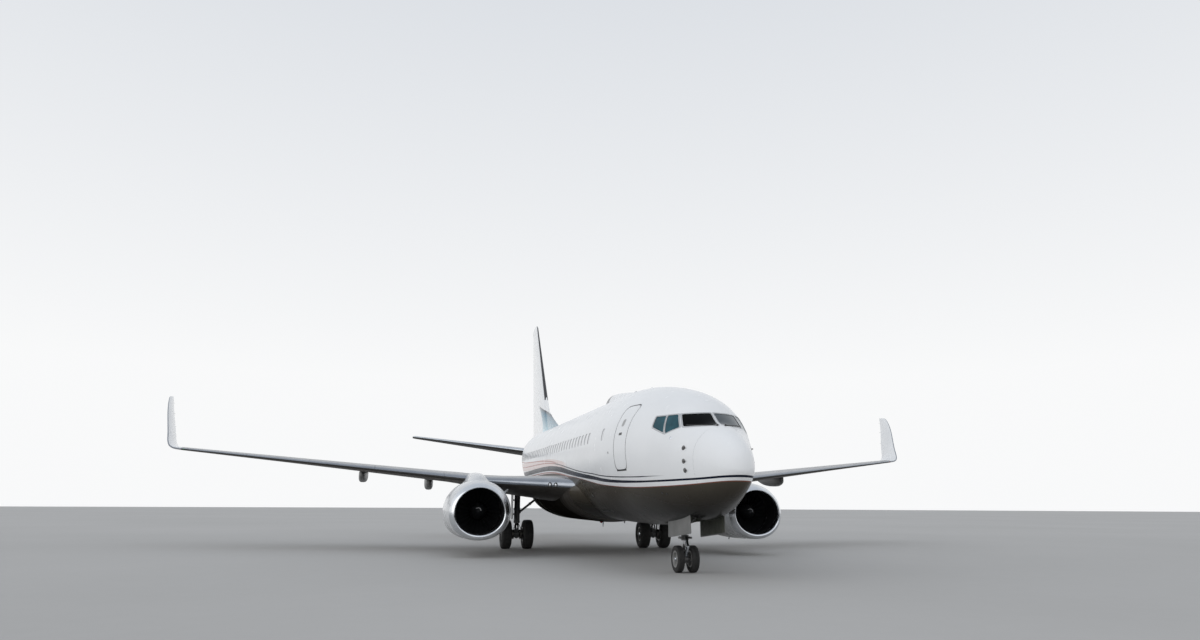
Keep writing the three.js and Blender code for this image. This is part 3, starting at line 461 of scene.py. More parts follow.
def joined(name, pieces):
    first = pieces[0]
    if len(pieces) > 1:
        with bpy.context.temp_override(active_object=first, object=first, selected_objects=pieces,
                                       selected_editable_objects=pieces):
            bpy.ops.object.join()
    first.name = name
    first.data.name = name
    return first


def mirrored(piece, name):
    """A copy on the other side of the aircraft."""
    other = copy_of(piece)
    other.name = name
    other.data.transform(Matrix.Diagonal((-1, 1, 1, 1)))
    other.data.flip_normals()
    return other


def paint(piece, material):
    piece.data.materials.clear()
    piece.data.materials.append(material)
    return piece


def all_painted(material, pieces):
    return [paint(piece, material) for piece in pieces]


def slivers(mesh):
    """True for the faces that are too narrow to have a normal of their own."""
    places = values_of(mesh.vertices, "co", 3)[values_of(mesh.loops, "vertex_index", 1, np.int32)]
    starts = values_of(mesh.polygons, "loop_start", 1, np.int32)
    following = np.arange(1, len(places) + 1)
    following[starts + values_of(mesh.polygons, "loop_total", 1, np.int32) - 1] = starts
    lengths = np.linalg.norm(places[following] - places, axis=1)
    return values_of(mesh.polygons, "area") < SLIVER_WIDTH * np.maximum.reduceat(lengths, starts) / 2


def with_skin_normals(piece, source, reach=0.0015):
    """Shades the cut piece by the smooth whole shape that it was cut from, and its cut faces flat."""
    piece.data.shade_smooth()
    modifier = piece.modifiers.new("normals", "DATA_TRANSFER")
    modifier.object = source
    modifier.use_loop_data = True
    modifier.data_types_loops = {"CUSTOM_NORMAL"}
    modifier.loop_mapping = "POLYINTERP_NEAREST"
    modifier.use_max_distance = True
    modifier.max_distance = reach
    mesh = baked(piece).data
    sizes = values_of(mesh.polygons, "loop_total", 1, np.int32)
    corner = values_of(mesh.corner_normals, "vector", 3)
    flat = np.repeat(values_of(mesh.polygons, "normal", 3), sizes, axis=0)
    agree = ((corner * flat).sum(1) > 0.9) | np.repeat(slivers(mesh), sizes)
    mesh.normals_split_custom_set(np.where(agree[:, None], corner, flat).tolist())
    return piece


def set_up(piece, body, slot, *replaced):
    """Lets a finished piece ride on a body, and hides the CAD parts that are given as replaced."""
    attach(piece, body)
    if replaced:
        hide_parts(*replaced)
    return piece


# Materials
NOISE_ROUGHNESS = 0.55


def feed(socket, value):
    """Links another node's output to a socket, or sets the socket's value."""
    if isinstance(value, bpy.types.NodeSocket):
        socket.id_data.links.new(value, socket)
    elif value is not None:
        socket.default_value = value


def node(kind, *inputs, **settings):
    """Adds a node beside what feeds it, sets or links its inputs in order, and returns its first output."""
    tree = next(value for value in inputs if isinstance(value, bpy.types.NodeSocket)).id_data
    made = tree.nodes.new("ShaderNode" + kind)
    for key, value in settings.items():
        setattr(made, key, value)
    for socket, value in zip(made.inputs, inputs):
        feed(socket, value)
    return made.outputs[0]


def maths(operation, *inputs):
    return node("Math", *inputs, operation=operation)


def between(value, low, high, to_low=0.0, to_high=1.0):
    """The value's place between low and high, as a number between to_low and to_high."""
    return node("MapRange", value, low, high, to_low, to_high)


def blended(share, first, second):
    """A colour between two; each is another node's output or three numbers."""
    made = share.id_data.nodes.new("ShaderNodeMix")
    made.data_type = "RGBA"
    feed(made.inputs[0], share)
    for number, colour in ((6, first), (7, second)):
        feed(made.inputs[number], colour if isinstance(colour, bpy.types.NodeSocket) else (*colour, 1))
    return made.outputs[2]


def noise(position, scale, detail=4.0):
    return node("TexNoise", position, None, scale, detail, NOISE_ROUGHNESS)


def new_material(name, **settings):
    material = bpy.data.materials.new(name)
    material.use_nodes = True
    tree = material.node_tree
    shader = tree.nodes["Principled BSDF"]
    for key, value in settings.items():
        shader.inputs[key.replace("_", " ")].default_value = value
    return material, shader, tree.nodes.new("ShaderNodeTexCoord").outputs["Object"]


def wire(shader, **sources):
    """Links the shader's inputs to what feeds them."""
    for name, source in sources.items():
        feed(shader.inputs[name.replace("_", " ")], source)


def surface(name, light, dark, roughness, metallic=0.0, patch=1.5, grain=60.0, bump=0.00006, wear=0.06,
            **settings):
    """Finish with patches of two near tones, uneven gloss and a fine grain."""
    material, shader, position = new_material(name, Metallic=metallic, **settings)
    share = between(noise(position, patch, 5.0), 0.35, 0.7)
    speckle = noise(position, grain, 3.0)
    gloss = between(speckle, 0.3, 0.7, roughness - wear, roughness + wear)
    raised = node("Bump", 1.0, bump, None, speckle)
    wire(shader, Base_Color=blended(share, light, dark), Roughness=gloss, Normal=raised)
    return material


# Colours
WHITE = (0.8, 0.81, 0.82)
WHITE_SHADE = (0.75, 0.76, 0.77)
BELLY = (0.075, 0.064, 0.048)
BELLY_SHADE = (0.055, 0.047, 0.036)
# Painted shade that the belly darkens to towards the keel
KEEL_SHADE_TONE = (0.004, 0.0035, 0.003)
NAVY = (0.004, 0.007, 0.02)
ROSE = (0.42, 0.22, 0.2)
BLUSH = (0.72, 0.6, 0.58)
BRONZE = (0.2, 0.07, 0.05)
TEAL = (0.04, 0.17, 0.26)
PALE_TEAL = (0.5, 0.66, 0.72)

# Livery lines on the body: station and height
NAVY_LINE = [
    (0.0, 2.338), (0.3, 2.325), (0.92, 2.304), (1.62, 2.294), (2.4, 2.287), (3.31, 2.29), (3.9, 2.303),
    (4.6, 2.325), (5.5, 2.367), (6.5, 2.435), (7.0, 2.482), (8.5, 2.598), (9.7, 2.697), (11.2, 2.843),
    (12.3, 2.95), (13.9, 3.06), (15.7, 3.12), (17.8, 3.138), (20.1, 3.138), (22.4, 3.155), (26.0, 3.36),
    (28.0, 3.7), (30.0, 4.18), (32.2, 4.72),
]
BELLY_LINE = [
    (0.0, 2.24), (0.35, 2.222), (0.98, 2.194), (1.69, 2.168), (2.48, 2.153), (3.45, 2.151), (4.06, 2.163),
    (4.8, 2.19), (5.75, 2.238), (6.8, 2.305), (7.75, 2.392), (8.76, 2.49), (9.85, 2.59), (11.1, 2.685),
    (12.1, 2.755), (13.4, 2.84), (15.1, 2.905), (17.0, 2.93), (20.0, 2.93), (22.5, 2.98), (26.0, 3.2),
    (28.0, 3.52), (30.0, 3.98), (32.2, 4.5),
]
# Stripes over the body: offset above the navy line at two stations, half width at the nose and at the tail,
# colour, first station
OFFSET_STATIONS = (9.0, 26.0)
WIDTH_STATIONS = (3.0, 12.0)
STRIPES = [
    (0.09, 0.38, 0.02, 0.17, BLUSH, 11.0), (0.0, 0.0, 0.024, 0.092, NAVY, -1.0),
    (0.12, 0.36, 0.013, 0.018, NAVY, 2.2), (0.12, 0.36, 0.013, 0.022, ROSE, 13.0),
    (0.08, 0.66, 0.014, 0.022, ROSE, 12.6), (-0.165, -0.14, 0.013, 0.02, ROSE, 10.5),
]
# The lines' length and height in the curve that holds them, and how soft their edges are
CURVE_LENGTH = 34.0
CURVE_HEIGHT = 8.0
LINE_EDGE = (-0.002, 0.002)
# Distances from the belly's edge over which its bronze line fades, and heights over which the keel darkens
# with painted shade
BRONZE_EDGE = (0.008, 0.012)
KEEL_SHADE_HEIGHTS = (1.5, 2.3)
# Band at the foot of the fin: stations and heights of its top, then heights and stations of its back edge
BAND_TOP = (22.9, 28.8, 5.65, 7.25)
BAND_CLIMB = (5.6, 7.25)
BAND_BACK = (27.1, 28.8)


def line_height(share, rows):
    """Height of a livery line at a share of the body's length."""
    made = share.id_data.nodes.new("ShaderNodeFloatCurve")
    curve = made.mapping.curves[0]
    for station, height in rows[1:-1]:
        curve.points.new(station / CURVE_LENGTH, height / CURVE_HEIGHT)
    for point, (station, height) in ((curve.points[0], rows[0]), (curve.points[-1], rows[-1])):
        point.location = (station / CURVE_LENGTH, height / CURVE_HEIGHT)
    made.mapping.update()
    feed(made.inputs["Value"], share)
    return maths("MULTIPLY", made.outputs[0], CURVE_HEIGHT)


def parts_of(position):
    """The x, y and z outputs of a position."""
    return node("SeparateXYZ", position).node.outputs


def livery_base(position, patch, rough):
    """What the livery finishes share: patches, white, gloss, and the station and height of a place."""
    patches = noise(position, patch, 5.0)
    white = blended(between(patches, 0.4, 0.8), WHITE, WHITE_SHADE)
    gloss = between(noise(position, 3.0), 0.3, 0.7, *rough)
    _, y, height = parts_of(position)
    return patches, white, gloss, maths("ADD", y, HALF_LENGTH), height


def body_paint():
    """White over a dark belly, with navy, rose and blush lines that rise over the wing."""
    material, shader, position = new_material("body_paint", Coat_Weight=0.03, Coat_Roughness=0.08,
                                              Specular_IOR_Level=0.12)
    patches, white, gloss, along, height = livery_base(position, 0.5, (0.2, 0.28))
    share = maths("DIVIDE", along, CURVE_LENGTH)
    dark = blended(between(patches, 0.35, 0.75), BELLY, BELLY_SHADE)
    # Painted shade: the belly darkens downwards to the keel
    dark = blended(between(height, *KEEL_SHADE_HEIGHTS), KEEL_SHADE_TONE, dark)
    under = maths("SUBTRACT", line_height(share, BELLY_LINE), height)
    colour = blended(between(under, *LINE_EDGE), white, dark)
    edge = between(maths("ABSOLUTE", under), *BRONZE_EDGE, 1.0, 0.0)
    colour = blended(edge, colour, BRONZE)
    above = maths("SUBTRACT", height, line_height(share, NAVY_LINE))
    for front, back, thin, thick, tone, first in STRIPES:
        offset = between(along, *OFFSET_STATIONS, front, back)
        half = between(along, *WIDTH_STATIONS, thin, thick)
        distance = maths("ABSOLUTE", maths("SUBTRACT", above, offset))
        stripe = between(maths("SUBTRACT", distance, half), *LINE_EDGE, 1.0, 0.0)
        start = between(along, first, first + 1.0)
        colour = blended(maths("MULTIPLY", stripe, start), colour, tone)
    waves = node("Bump", 0.2, 0.004, None, noise(position, 1.6, 1.0))
    wire(shader, Base_Color=colour, Roughness=gloss, Normal=waves)
    return material


def tail_paint():
    """White, with a band that fades from navy through teal to pale at the foot of the fin."""
    material, shader, position = new_material("tail_paint", Coat_Weight=0.5, Coat_Roughness=0.06)
    _, white, gloss, along, height = livery_base(position, 0.7, (0.22, 0.3))
    below = maths("SUBTRACT", between(along, *BAND_TOP), height)
    climb = maths("POWER", between(height, *BAND_CLIMB), 1.6)
    ahead = maths("SUBTRACT", between(climb, 0.0, 1.0, *BAND_BACK), along)
    inside = maths("MULTIPLY", between(below, 0.0, 0.01), between(ahead, 0.0, 0.01))
    band = blended(between(below, 0.02, 0.22), NAVY, TEAL)
    band = blended(between(below, 0.25, 1.0), band, PALE_TEAL)
    wire(shader, Base_Color=blended(inside, white, band), Roughness=gloss)
    return material


body_white = body_paint()
fin_white = tail_paint()
white_paint = surface("white_paint", WHITE, WHITE_SHADE, 0.26, patch=0.7, grain=6, wear=0.04, Coat_Weight=0.4,
                      Coat_Roughness=0.06)
# Grime with painted shade on the fairing's aft part: each step darker and less glossy than the one before
grime_and_shade = []
for number, tone in enumerate((2.2, 1.9, 1.6, 1.3, 1.0)):
    light, dark = np.multiply((0.014, 0.012, 0.01), tone), np.multiply((0.024, 0.021, 0.018), tone)
    grime_and_shade.append(surface("grimy_" + str(number + 1), light, dark, 0.35 + 0.09 * number, patch=1.2,
                         Specular_IOR_Level=0.096 - 0.024 * number))
wing_grey = surface("wing_grey", (0.4, 0.4, 0.4), (0.33, 0.33, 0.33), 0.36, patch=0.9, grain=20)
leg_door_grey = surface("leg_door_grey", (0.3, 0.3, 0.3), (0.25, 0.25, 0.25), 0.36, patch=0.9, grain=20)
# Painted shade: undersides of the wing and tailplane are near black, for the shadow under them
dark_underside_shade = surface("dark_underside_shade", (0.045, 0.041, 0.037), (0.03, 0.027, 0.024), 0.45, patch=0.9, grain=20,
                     Specular_IOR_Level=0.15)
# Painted shadow: the dark line under the edge of the slats
slat_gap_shadow = surface("slat_gap_shadow", (0.012, 0.011, 0.01), (0.02, 0.018, 0.016), 0.6, patch=2.0)
# Painted shade, lighter: the wing's underside outboard is less dark than inboard
outboard_lighter_shade = surface("outboard_lighter_shade", (0.12, 0.108, 0.098), (0.09, 0.08, 0.072), 0.45, patch=0.9, grain=20,
                      Specular_IOR_Level=0.15)
# Greyer than the body's white: partly a grey paint, partly painted shade on the cowls and pylons
cowl_white = surface("cowl_white", (0.62, 0.63, 0.64), (0.56, 0.57, 0.58), 0.26, patch=0.7, grain=6,
                     wear=0.04, Coat_Weight=0.3, Coat_Roughness=0.06)
METAL = {"grain": 8, "wear": 0.03}
lip_metal = surface("lip_metal", (0.78, 0.8, 0.82), (0.68, 0.7, 0.73), 0.24, 1.0, **METAL)
bare_metal = surface("bare_metal", (0.62, 0.65, 0.68), (0.5, 0.53, 0.57), 0.16, 1.0, **METAL)
edge_metal = surface("edge_metal", (0.34, 0.36, 0.39), (0.26, 0.28, 0.31), 0.24, 1.0, patch=1.0, **METAL)
chrome = surface("chrome", (0.75, 0.75, 0.75), (0.65, 0.65, 0.66), 0.08, 1.0, patch=8.0, wear=0.03)
frame_metal = surface("frame_metal", (0.5, 0.51, 0.52), (0.4, 0.41, 0.42), 0.35, 0.3, patch=5.0)
door_line = surface("door_line", (0.05, 0.05, 0.05), (0.09, 0.09, 0.09), 0.5, patch=5.0)
pale_grey = surface("pale_grey", (0.55, 0.56, 0.57), (0.47, 0.48, 0.49), 0.35, patch=1.5)
door_grey = surface("door_grey", (0.17, 0.17, 0.165), (0.12, 0.12, 0.117), 0.35, patch=2.0)
window_rim = surface("window_rim", (0.42, 0.42, 0.42), (0.36, 0.36, 0.36), 0.5, patch=5.0)
lens_red = surface("lens_red", (0.3, 0.01, 0.01), (0.2, 0.006, 0.006), 0.08, patch=20.0, wear=0.03)
lens_green = surface("lens_green", (0.01, 0.25, 0.05), (0.006, 0.17, 0.03), 0.08, patch=20.0, wear=0.03)
hose_black = surface("hose_black", (0.01, 0.01, 0.01), (0.02, 0.02, 0.02), 0.5, patch=9.0)
lamp_glass = surface("lamp_glass", (0.75, 0.77, 0.8), (0.6, 0.62, 0.65), 0.05, 0.6, patch=20.0, wear=0.02)
beacon_red = surface("beacon_red", (0.35, 0.01, 0.01), (0.25, 0.005, 0.005), 0.1, patch=20.0, wear=0.03)
mark_white = surface("mark_white", (0.85, 0.85, 0.85), (0.7, 0.7, 0.7), 0.4, patch=20.0)
dark_metal = surface("dark_metal", (0.16, 0.15, 0.14), (0.09, 0.085, 0.08), 0.45, 0.8, patch=3.0)
fan_metal = surface("fan_metal", (0.02, 0.021, 0.023), (0.011, 0.012, 0.013), 0.4, 0.5, patch=4.0)
# Near black: the dark liner of the ducts, darkened further by painted shade inside them
liner = surface("liner", (0.012, 0.012, 0.013), (0.007, 0.007, 0.008), 0.5, patch=4.0, grain=200,
                Specular_IOR_Level=0.2)
# Painted shade: the gear is darkened to dark grey for the shadow it stands in
gear_paint = surface("gear_paint", (0.16, 0.16, 0.16), (0.09, 0.09, 0.088), 0.36, patch=5.0)
# Painted shade: the rims are darkened for the shadow they stand in
rim_shade_paint = surface("rim_shade_paint", (0.3, 0.3, 0.295), (0.18, 0.176, 0.17), 0.35, 0.2, patch=6.0)
tyre_rubber = surface("tyre_rubber", (0.018, 0.018, 0.018), (0.028, 0.027, 0.026), 0.8, patch=6.0, bump=0.001)
primer = surface("primer", (0.1, 0.105, 0.085), (0.06, 0.064, 0.052), 0.6, patch=3.0)
window_pane = surface("window_pane", (0.7, 0.71, 0.72), (0.6, 0.61, 0.63), 0.12, patch=3.0)
gasket = surface("gasket", (0.1, 0.1, 0.1), (0.16, 0.16, 0.16), 0.5, patch=8.0)
PANE = {"wear": 0.015, "bump": 0.0}
front_glass = surface("front_glass", (0.001, 0.0012, 0.0015), (0.002, 0.0025, 0.003), 0.05, patch=2.0,
                      Specular_IOR_Level=0.05, **PANE)
# Painted reflection: the left windscreen is lighter than the right one
reflection_glass = surface("reflection_glass", (0.085, 0.1, 0.11), (0.045, 0.055, 0.062), 0.05, patch=2.0,
                    Specular_IOR_Level=0.3, **PANE)
# Painted reflection: the teal of the side panes
side_glass = surface("side_glass", (0.02, 0.085, 0.11), (0.01, 0.045, 0.06), 0.06, patch=3.0,
                     Specular_IOR_Level=0.25, **PANE)
dark_strip = surface("dark_strip", (0.05, 0.05, 0.053), (0.035, 0.035, 0.038), 0.4, 0.3, patch=3.0)


# Body
def body_rows(stations):
    return smooth_rows(BODY_SECTIONS, stations, np.sqrt)


def body_stations(low, high):
    """Stations from low to high, close together at the nose and the tail."""
    first, last = TUBE
    nose = np.linspace(math.sqrt(low), math.sqrt(min(high, first)), NOSE_RINGS) ** 2 if low < first else [low]
    every = np.unique(np.concatenate([nose, steps(first, last, 1.0), steps(last, BODY_END, 0.2)]))
    every = every[(every > low) & (every < high)]
    return np.concatenate([[low], every, [high]])


def body_shell(low, high, grow=0.0, name="body"):
    """The body's whole shape between two stations, moved out by grow."""
    turns = turns_of(BODY_SIDES)
    stations = body_stations(low, high)
    rings = []
    for station, (_, crown, keel, half_width, widest) in zip(stations, body_rows(stations)):
        reach = np.where(np.sin(turns) > 0, crown - widest, widest - keel)
        x = max(half_width + grow, 0.001) * np.cos(turns)
        z = attitude(station) + widest + np.maximum(reach + grow, 0.001) * np.sin(turns)
        rings.append(station_ring(x, station, z))
    return loft(name, rings)


def side_of_body(station, height):
    """Half width of the body at a station and a height."""
    _, crown, keel, half_width, widest = body_rows([station])[0]
    rise = height - attitude(station) - widest
    reach = crown - widest if rise > 0 else widest - keel
    return half_width * math.sqrt(max(0.0, 1 - (rise / reach) ** 2))


# Doors: name, side, station range, height range
DOORS = [
    ("passenger_door_forward", 1, (4.6, 5.46), (2.63, 4.46)),
    ("passenger_door_aft", 1, (25.0, 25.76), (2.985, 4.8)),
    ("service_door_forward", -1, (3.85, 4.61), (2.63, 4.33)),
    ("service_door_aft", -1, (25.0, 25.76), (2.985, 4.64)),
    ("cargo_door_forward", -1, (8.0, 9.22), (1.56, 2.37)),
    ("cargo_door_aft", -1, (21.3, 22.52), (1.86, 2.64)),
]
EXITS = [
    ("overwing_exit_left", 1, (15.0, 15.51), (3.05, 4.02)),
    ("overwing_exit_right", -1, (15.0, 15.51), (3.05, 4.02)),
]
DOOR_CORNER = 0.2
DOOR_LINE = 0.026
LINE_DEPTH = 0.003
EXIT_GAP = 0.009
EXIT_RECESS = 0.42
EXIT_SHELL = (14.5, 16.0)

# Cabin windows: the first stands apart from the row, and none is nearer to an exit than the margin
WINDOW_AHEAD = 5.78
WINDOW_FIRST = 7.6
WINDOW_PITCH = 0.508
WINDOW_COUNT = 34
WINDOW_MARGIN = 0.2
WINDOW_OVER_KEEL = 2.53
WINDOW_HALF = (0.125, 0.175)
WINDOW_CORNER = 0.11
WINDOW_DEPTH = 0.012
WINDOW_SHELL = (5.0, 25.0)

# Cockpit panes: front view (x, height) and side view (station, height), then what holds each kind:
# the view, how far across it the cutter reaches, and the stations
FRONT_PANE = [(0.045, 3.585), (0.75, 3.558), (0.678, 3.888), (0.038, 3.9)]
SIDE_PANES = [
    [(1.85, 3.55), (2.19, 3.42), (2.405, 3.885), (2.145, 3.89)],
    [(2.26, 3.445), (2.7, 3.615), (2.755, 3.885), (2.44, 3.88)],
]
FRONT_REACH = ("front", 0.0, 2.15, (1.2, 2.4))
SIDE_FROM = 0.695
SIDE_STATIONS = (1.8, 2.9)
PANE_CORNER = 0.035
PANE_RECESS = 0.05
PANE_GAP = 0.004
PANE_LAYER = (-0.01, -0.045)
FRAME_WIDTH = 0.03
FRAME_LAYER = (0.003, -0.02)

# Cutters reach from near the middle to outside the body, and skin is cut from a shell longer by a margin
CUTTER_REACH = (0.1, 3.0)
SHELL_MARGIN = 0.3
RADOME_GAP = 0.003
SEAL_HALF = 0.02
# Pipe that opens at the tail: radius, and height over the keel line
TAIL_PIPE = 0.13
TAIL_PIPE_LEVEL = 3.3
TAIL_LAMP_LEVEL = 3.52

# Wells: the wheel well's x and radius, and in plan the nose gear bay, the leg bay and the trough to the well
WELL = (1.0, 0.66)
WELL_FOOT = 0.5
NOSE_BAY = ((-0.45, 2.25), (0.45, 4.4))
NOSE_BAY_TOP = 1.95
LEG_BAY = ((2.62, 16.05), (3.1, 17.05))
LEG_BAY_TOP = 2.5
TROUGH = ((1.0, 16.38), (2.63, 16.84))
TROUGH_TOP = 2.42

whole_body = body_shell(TIP_START, BODY_END)
paint(whole_body, body_white)


def x_range(side, inner=CUTTER_REACH[0]):
    outer = CUTTER_REACH[1]
    return (inner, outer) if side > 0 else (-outer, -inner)


def door_outline(stations, heights, grow=0.0):
    return box_outline((stations[0], heights[0]), (stations[1], heights[1]), DOOR_CORNER, grow)


def skin_panel(name, outline, view, low, high, stations, top=0.0, bottom=-DOOR_THICKNESS):
    """Piece of the body's own skin inside an outline, from bottom to top of its thickness."""
    reach = (max(TIP_START, stations[0] - SHELL_MARGIN), min(BODY_END, stations[1] + SHELL_MARGIN))
    piece = prism(outline, view, low, high, name)
    cut(piece, "INTERSECT", body_shell(*reach, top))
    cut(piece, "DIFFERENCE", body_shell(reach[0] - 0.0001, reach[1] + 0.1, bottom))
    return piece


def skin_recess(outline, view, low, high, stations, depth, walls, floor):
    """What is taken away for a recess of one depth in the body's skin."""
    piece = paint(prism(outline, view, low, high), walls)
    inner = body_shell(max(TIP_START, stations[0] - SHELL_MARGIN), stations[1] + SHELL_MARGIN, -depth)
    return cut(piece, "DIFFERENCE", paint(inner, floor))


def window_outline(station):
    centre = attitude(station) + WINDOW_OVER_KEEL
    low = (station - WINDOW_HALF[0], centre - WINDOW_HALF[1])
    high = (station + WINDOW_HALF[0], centre + WINDOW_HALF[1])
    return box_outline(low, high, WINDOW_CORNER)


def cabin_windows():
    """Cabin window outlines on one side, those in the overwing exit apart."""
    first, last = EXITS[0][2]
    stations = [WINDOW_AHEAD, *(WINDOW_FIRST + WINDOW_PITCH * np.arange(WINDOW_COUNT))]
    return [window_outline(s) for s in stations if not first - WINDOW_MARGIN < s < last + WINDOW_MARGIN]


def window_cutter(side, outlines, stations):
    windows = joined("cutter", [prism(outline, "side", *x_range(side, 1.0)) for outline in outlines])
    inner = paint(body_shell(*stations, -WINDOW_DEPTH), window_pane)
    return cut(paint(windows, window_rim), "DIFFERENCE", inner)


def cockpit_panes(side, margin):
    """Each cockpit pane on one side: its outline grown by margin, then its view, reach and stations."""
    rows = [(np.array(FRONT_PANE) * (side, 1), *FRONT_REACH)]
    rows += [(pane, "side", *x_range(side, SIDE_FROM), SIDE_STATIONS) for pane in SIDE_PANES]
    return [(rounded(grown(pane, margin) if margin else pane, PANE_CORNER), *space) for pane, *space in rows]


def body_cutters():
    """What is taken away from the body's skin for doors, exits, panes and windows."""
    cutters = []
    for _, side, stations, heights in DOORS:
        for margin, depth in ((DOOR_LINE, LINE_DEPTH), (SEAM, DOOR_THICKNESS)):
            space = (door_outline(stations, heights, margin), "side", *x_range(side), stations)
            cutters.append(skin_recess(*space, depth, door_line, door_line))
    for _, side, stations, heights in EXITS:
        space = (door_outline(stations, heights, EXIT_GAP), "side", *x_range(side), stations)
        cutters.append(skin_recess(*space, EXIT_RECESS, door_line, primer))
    for side, _ in SIDES:
        for outline, *space in cockpit_panes(side, 0.0):
            cutters.append(skin_recess(outline, *space, PANE_RECESS, gasket, gasket))
        cutters.append(window_cutter(side, cabin_windows(), WINDOW_SHELL))
    return cutters


def build_body():
    shell = paint(body_shell(RADOME_SEAM + RADOME_GAP, BODY_END, name="fuselage_skin"), body_white)
    cut(shell, "DIFFERENCE", *body_cutters())
    cut(shell, "DIFFERENCE", *well_cutters())
    tail = (0, BODY_END + 0.02, attitude(BODY_END) + TAIL_PIPE_LEVEL)
    pipe = turned("cutter", [(0, TAIL_PIPE), (0.5, TAIL_PIPE)], tail, (0, -1, 0.1))
    cut(shell, "DIFFERENCE", paint(pipe, liner))
    with_skin_normals(shell, whole_body)
    set_up(shell, "airframe", "white_paint", "fuselage")
    radome = paint(body_shell(TIP_START, RADOME_SEAM - RADOME_GAP, name="radome_skin"), body_white)
    with_skin_normals(radome, whole_body)
    seal = body_shell(RADOME_SEAM - SEAL_HALF, RADOME_SEAM + SEAL_HALF, -RADOME_GAP, "seal")
    radome = joined("radome_skin", [radome, paint(seal, door_line)])
    set_up(radome, "airframe", "white_paint", "radome")


def build_doors():
    """Doors and exits, each a panel of the body's skin; an exit has a window in its middle."""
    for name, side, stations, heights in DOORS + EXITS:
        panel = skin_panel(name + "_panel", door_outline(stations, heights), "side", *x_range(side), stations)
        paint(panel, body_white)
        turns = name.startswith("overwing")
        if turns:
            cut(panel, "DIFFERENCE", window_cutter(side, [window_outline(sum(stations) / 2)], EXIT_SHELL))
        with_skin_normals(panel, whole_body)
        set_up(panel, name if turns else "airframe", "white_paint", name)


def well_cutters():
    """Nose gear bay, and on each side the wheel well and the trough between it and the leg bay, in paint."""
    cutters = [prism(box_outline(*NOSE_BAY, 0.03), "plan", WELL_FOOT, NOSE_BAY_TOP)]
    for side, _ in SIDES:
        mouth = (side * WELL[0], MAIN_GEAR_STATION, WELL_FOOT)
        cutters.append(turned("cutter", [(0, WELL[1]), (1.65, WELL[1])], mouth, (0, 0, 1), 64))
        (inner, ahead), (outer, behind) = TROUGH
        low, high = sorted((side * inner, side * outer))
        cutters.append(prism(box_outline((low, ahead), (high, behind), 0.02), "plan", WELL_FOOT, TROUGH_TOP))
    return all_painted(primer, cutters)


def build_cockpit():
    for side, label in SIDES:
        front, *others = [skin_panel("pane", *space, *PANE_LAYER) for space in cockpit_panes(side, -PANE_GAP)]
        # The left windscreen is lighter with a painted reflection
        front_finish = reflection_glass if side > 0 else front_glass
        for name, panes, finish, node_name in (
                ("windscreen_" + label + "_pane", [front], front_finish, "windscreen_" + label),
                ("cockpit_side_panes_" + label, others, side_glass, "cockpit_side_window_" + label)):
            piece = paint(joined(name, panes), finish)
            with_skin_normals(piece, whole_body, 0.02)
            set_up(piece, "airframe", "cockpit_glass", node_name)


def inside_grime_and_shade(places):
    """How far places are inside the space of grime and painted shade, along the body; less than nothing above
    it.
    """
    ahead, behind, top = GRIME_AND_SHADE_SPACE
    depth = np.minimum(places[:, 1] - ahead, behind - places[:, 1])
    return np.where(places[:, 2] < top, depth, -1.0)


def faces_where(piece, index, test):
    """Gives faces whose middle passes the test another of the piece's materials."""
    faces = piece.data.polygons
    chosen = test(values_of(faces, "center", 3) + (0, HALF_LENGTH, 0))
    old = values_of(faces, "material_index", 1, np.int32)
    faces.foreach_set("material_index", np.where(chosen, index, old).astype(np.int32))


def build_fairing():
    turns = turns_of(FAIRING_SIDES)
    rings = []
    stations = steps(FAIRING_SECTIONS[0, 0], FAIRING_SECTIONS[-1, 0], 0.15)
    for station, half_width, centre, above, below in smooth_rows(FAIRING_SECTIONS, stations):
        reach = np.where(np.sin(turns) > 0, above, below)
        rings.append(station_ring(half_width * np.cos(turns), station, centre + reach * np.sin(turns)))
    whole = paint(loft("whole_fairing", rings), body_white)
    # Painted shade with grime, in steps that darken further into the space
    for k, finish in enumerate(grime_and_shade):
        whole.data.materials.append(finish)
        faces_where(whole, k + 1, lambda c: inside_grime_and_shade(c) > GRIME_AND_SHADE_STEP * k)
    piece = copy_of(whole)
    piece.name = "belly_fairing"
    cut(piece, "DIFFERENCE", body_shell(9.0, 21.5, FAIRING_LIFT), *well_cutters())
    with_skin_normals(piece, whole)
    drop(whole)
    set_up(piece, "airframe", "belly_grey", "wing_body_fairing")


# Wings and tail
def half_thickness(share, thickness):
    root = 0.2969 * np.sqrt(share) - 0.126 * share
    return 5 * thickness * (root - 0.3516 * share ** 2 + 0.2843 * share ** 3 - 0.1015 * share ** 4)


def section_ring(leading, trailing, up, thickness, camber=0.0):
    """Ring round a streamlined section, from the trailing edge over the top to the nose and back."""
    leading, trailing = np.asarray(leading, float), np.asarray(trailing, float)
    length = np.linalg.norm(trailing - leading)
    share = CHORD_SHARES[::-1]
    half = half_thickness(share, thickness) * length
    half = np.where(share > 0.3, np.maximum(half, EDGE_HALF_THICKNESS), half)
    place = leading + (trailing - leading) * share[:, None]
    middle = 4 * camber * share * (1 - share) * length
    upper = place + up * (middle + half)[:, None]
    lower = place + up * (middle - half)[:, None]
    return np.vstack([upper, lower[-2::-1]])


def wing_camber(x):
    return np.interp(x, CAMBER_POSITIONS, (ROOT_CAMBER, WING_CAMBER))


def span_rings(table, camber=None):
    rings = []
    for x, front, back, front_z, back_z, thickness in straight_rows(table, span_steps(table, SPAN_STEP)):
        bend = camber(x) if camber else 0.0
        rings.append(section_ring((x, front, front_z), (x, back, back_z), UP, thickness, bend))
    return rings


def fin_rings():
    rows = straight_rows(FIN_SECTIONS, span_steps(FIN_SECTIONS, FIN_STEP))
    return [section_ring((0, front, z), (0, back, z), LEFT, thick) for z, front, back, thick in rows]


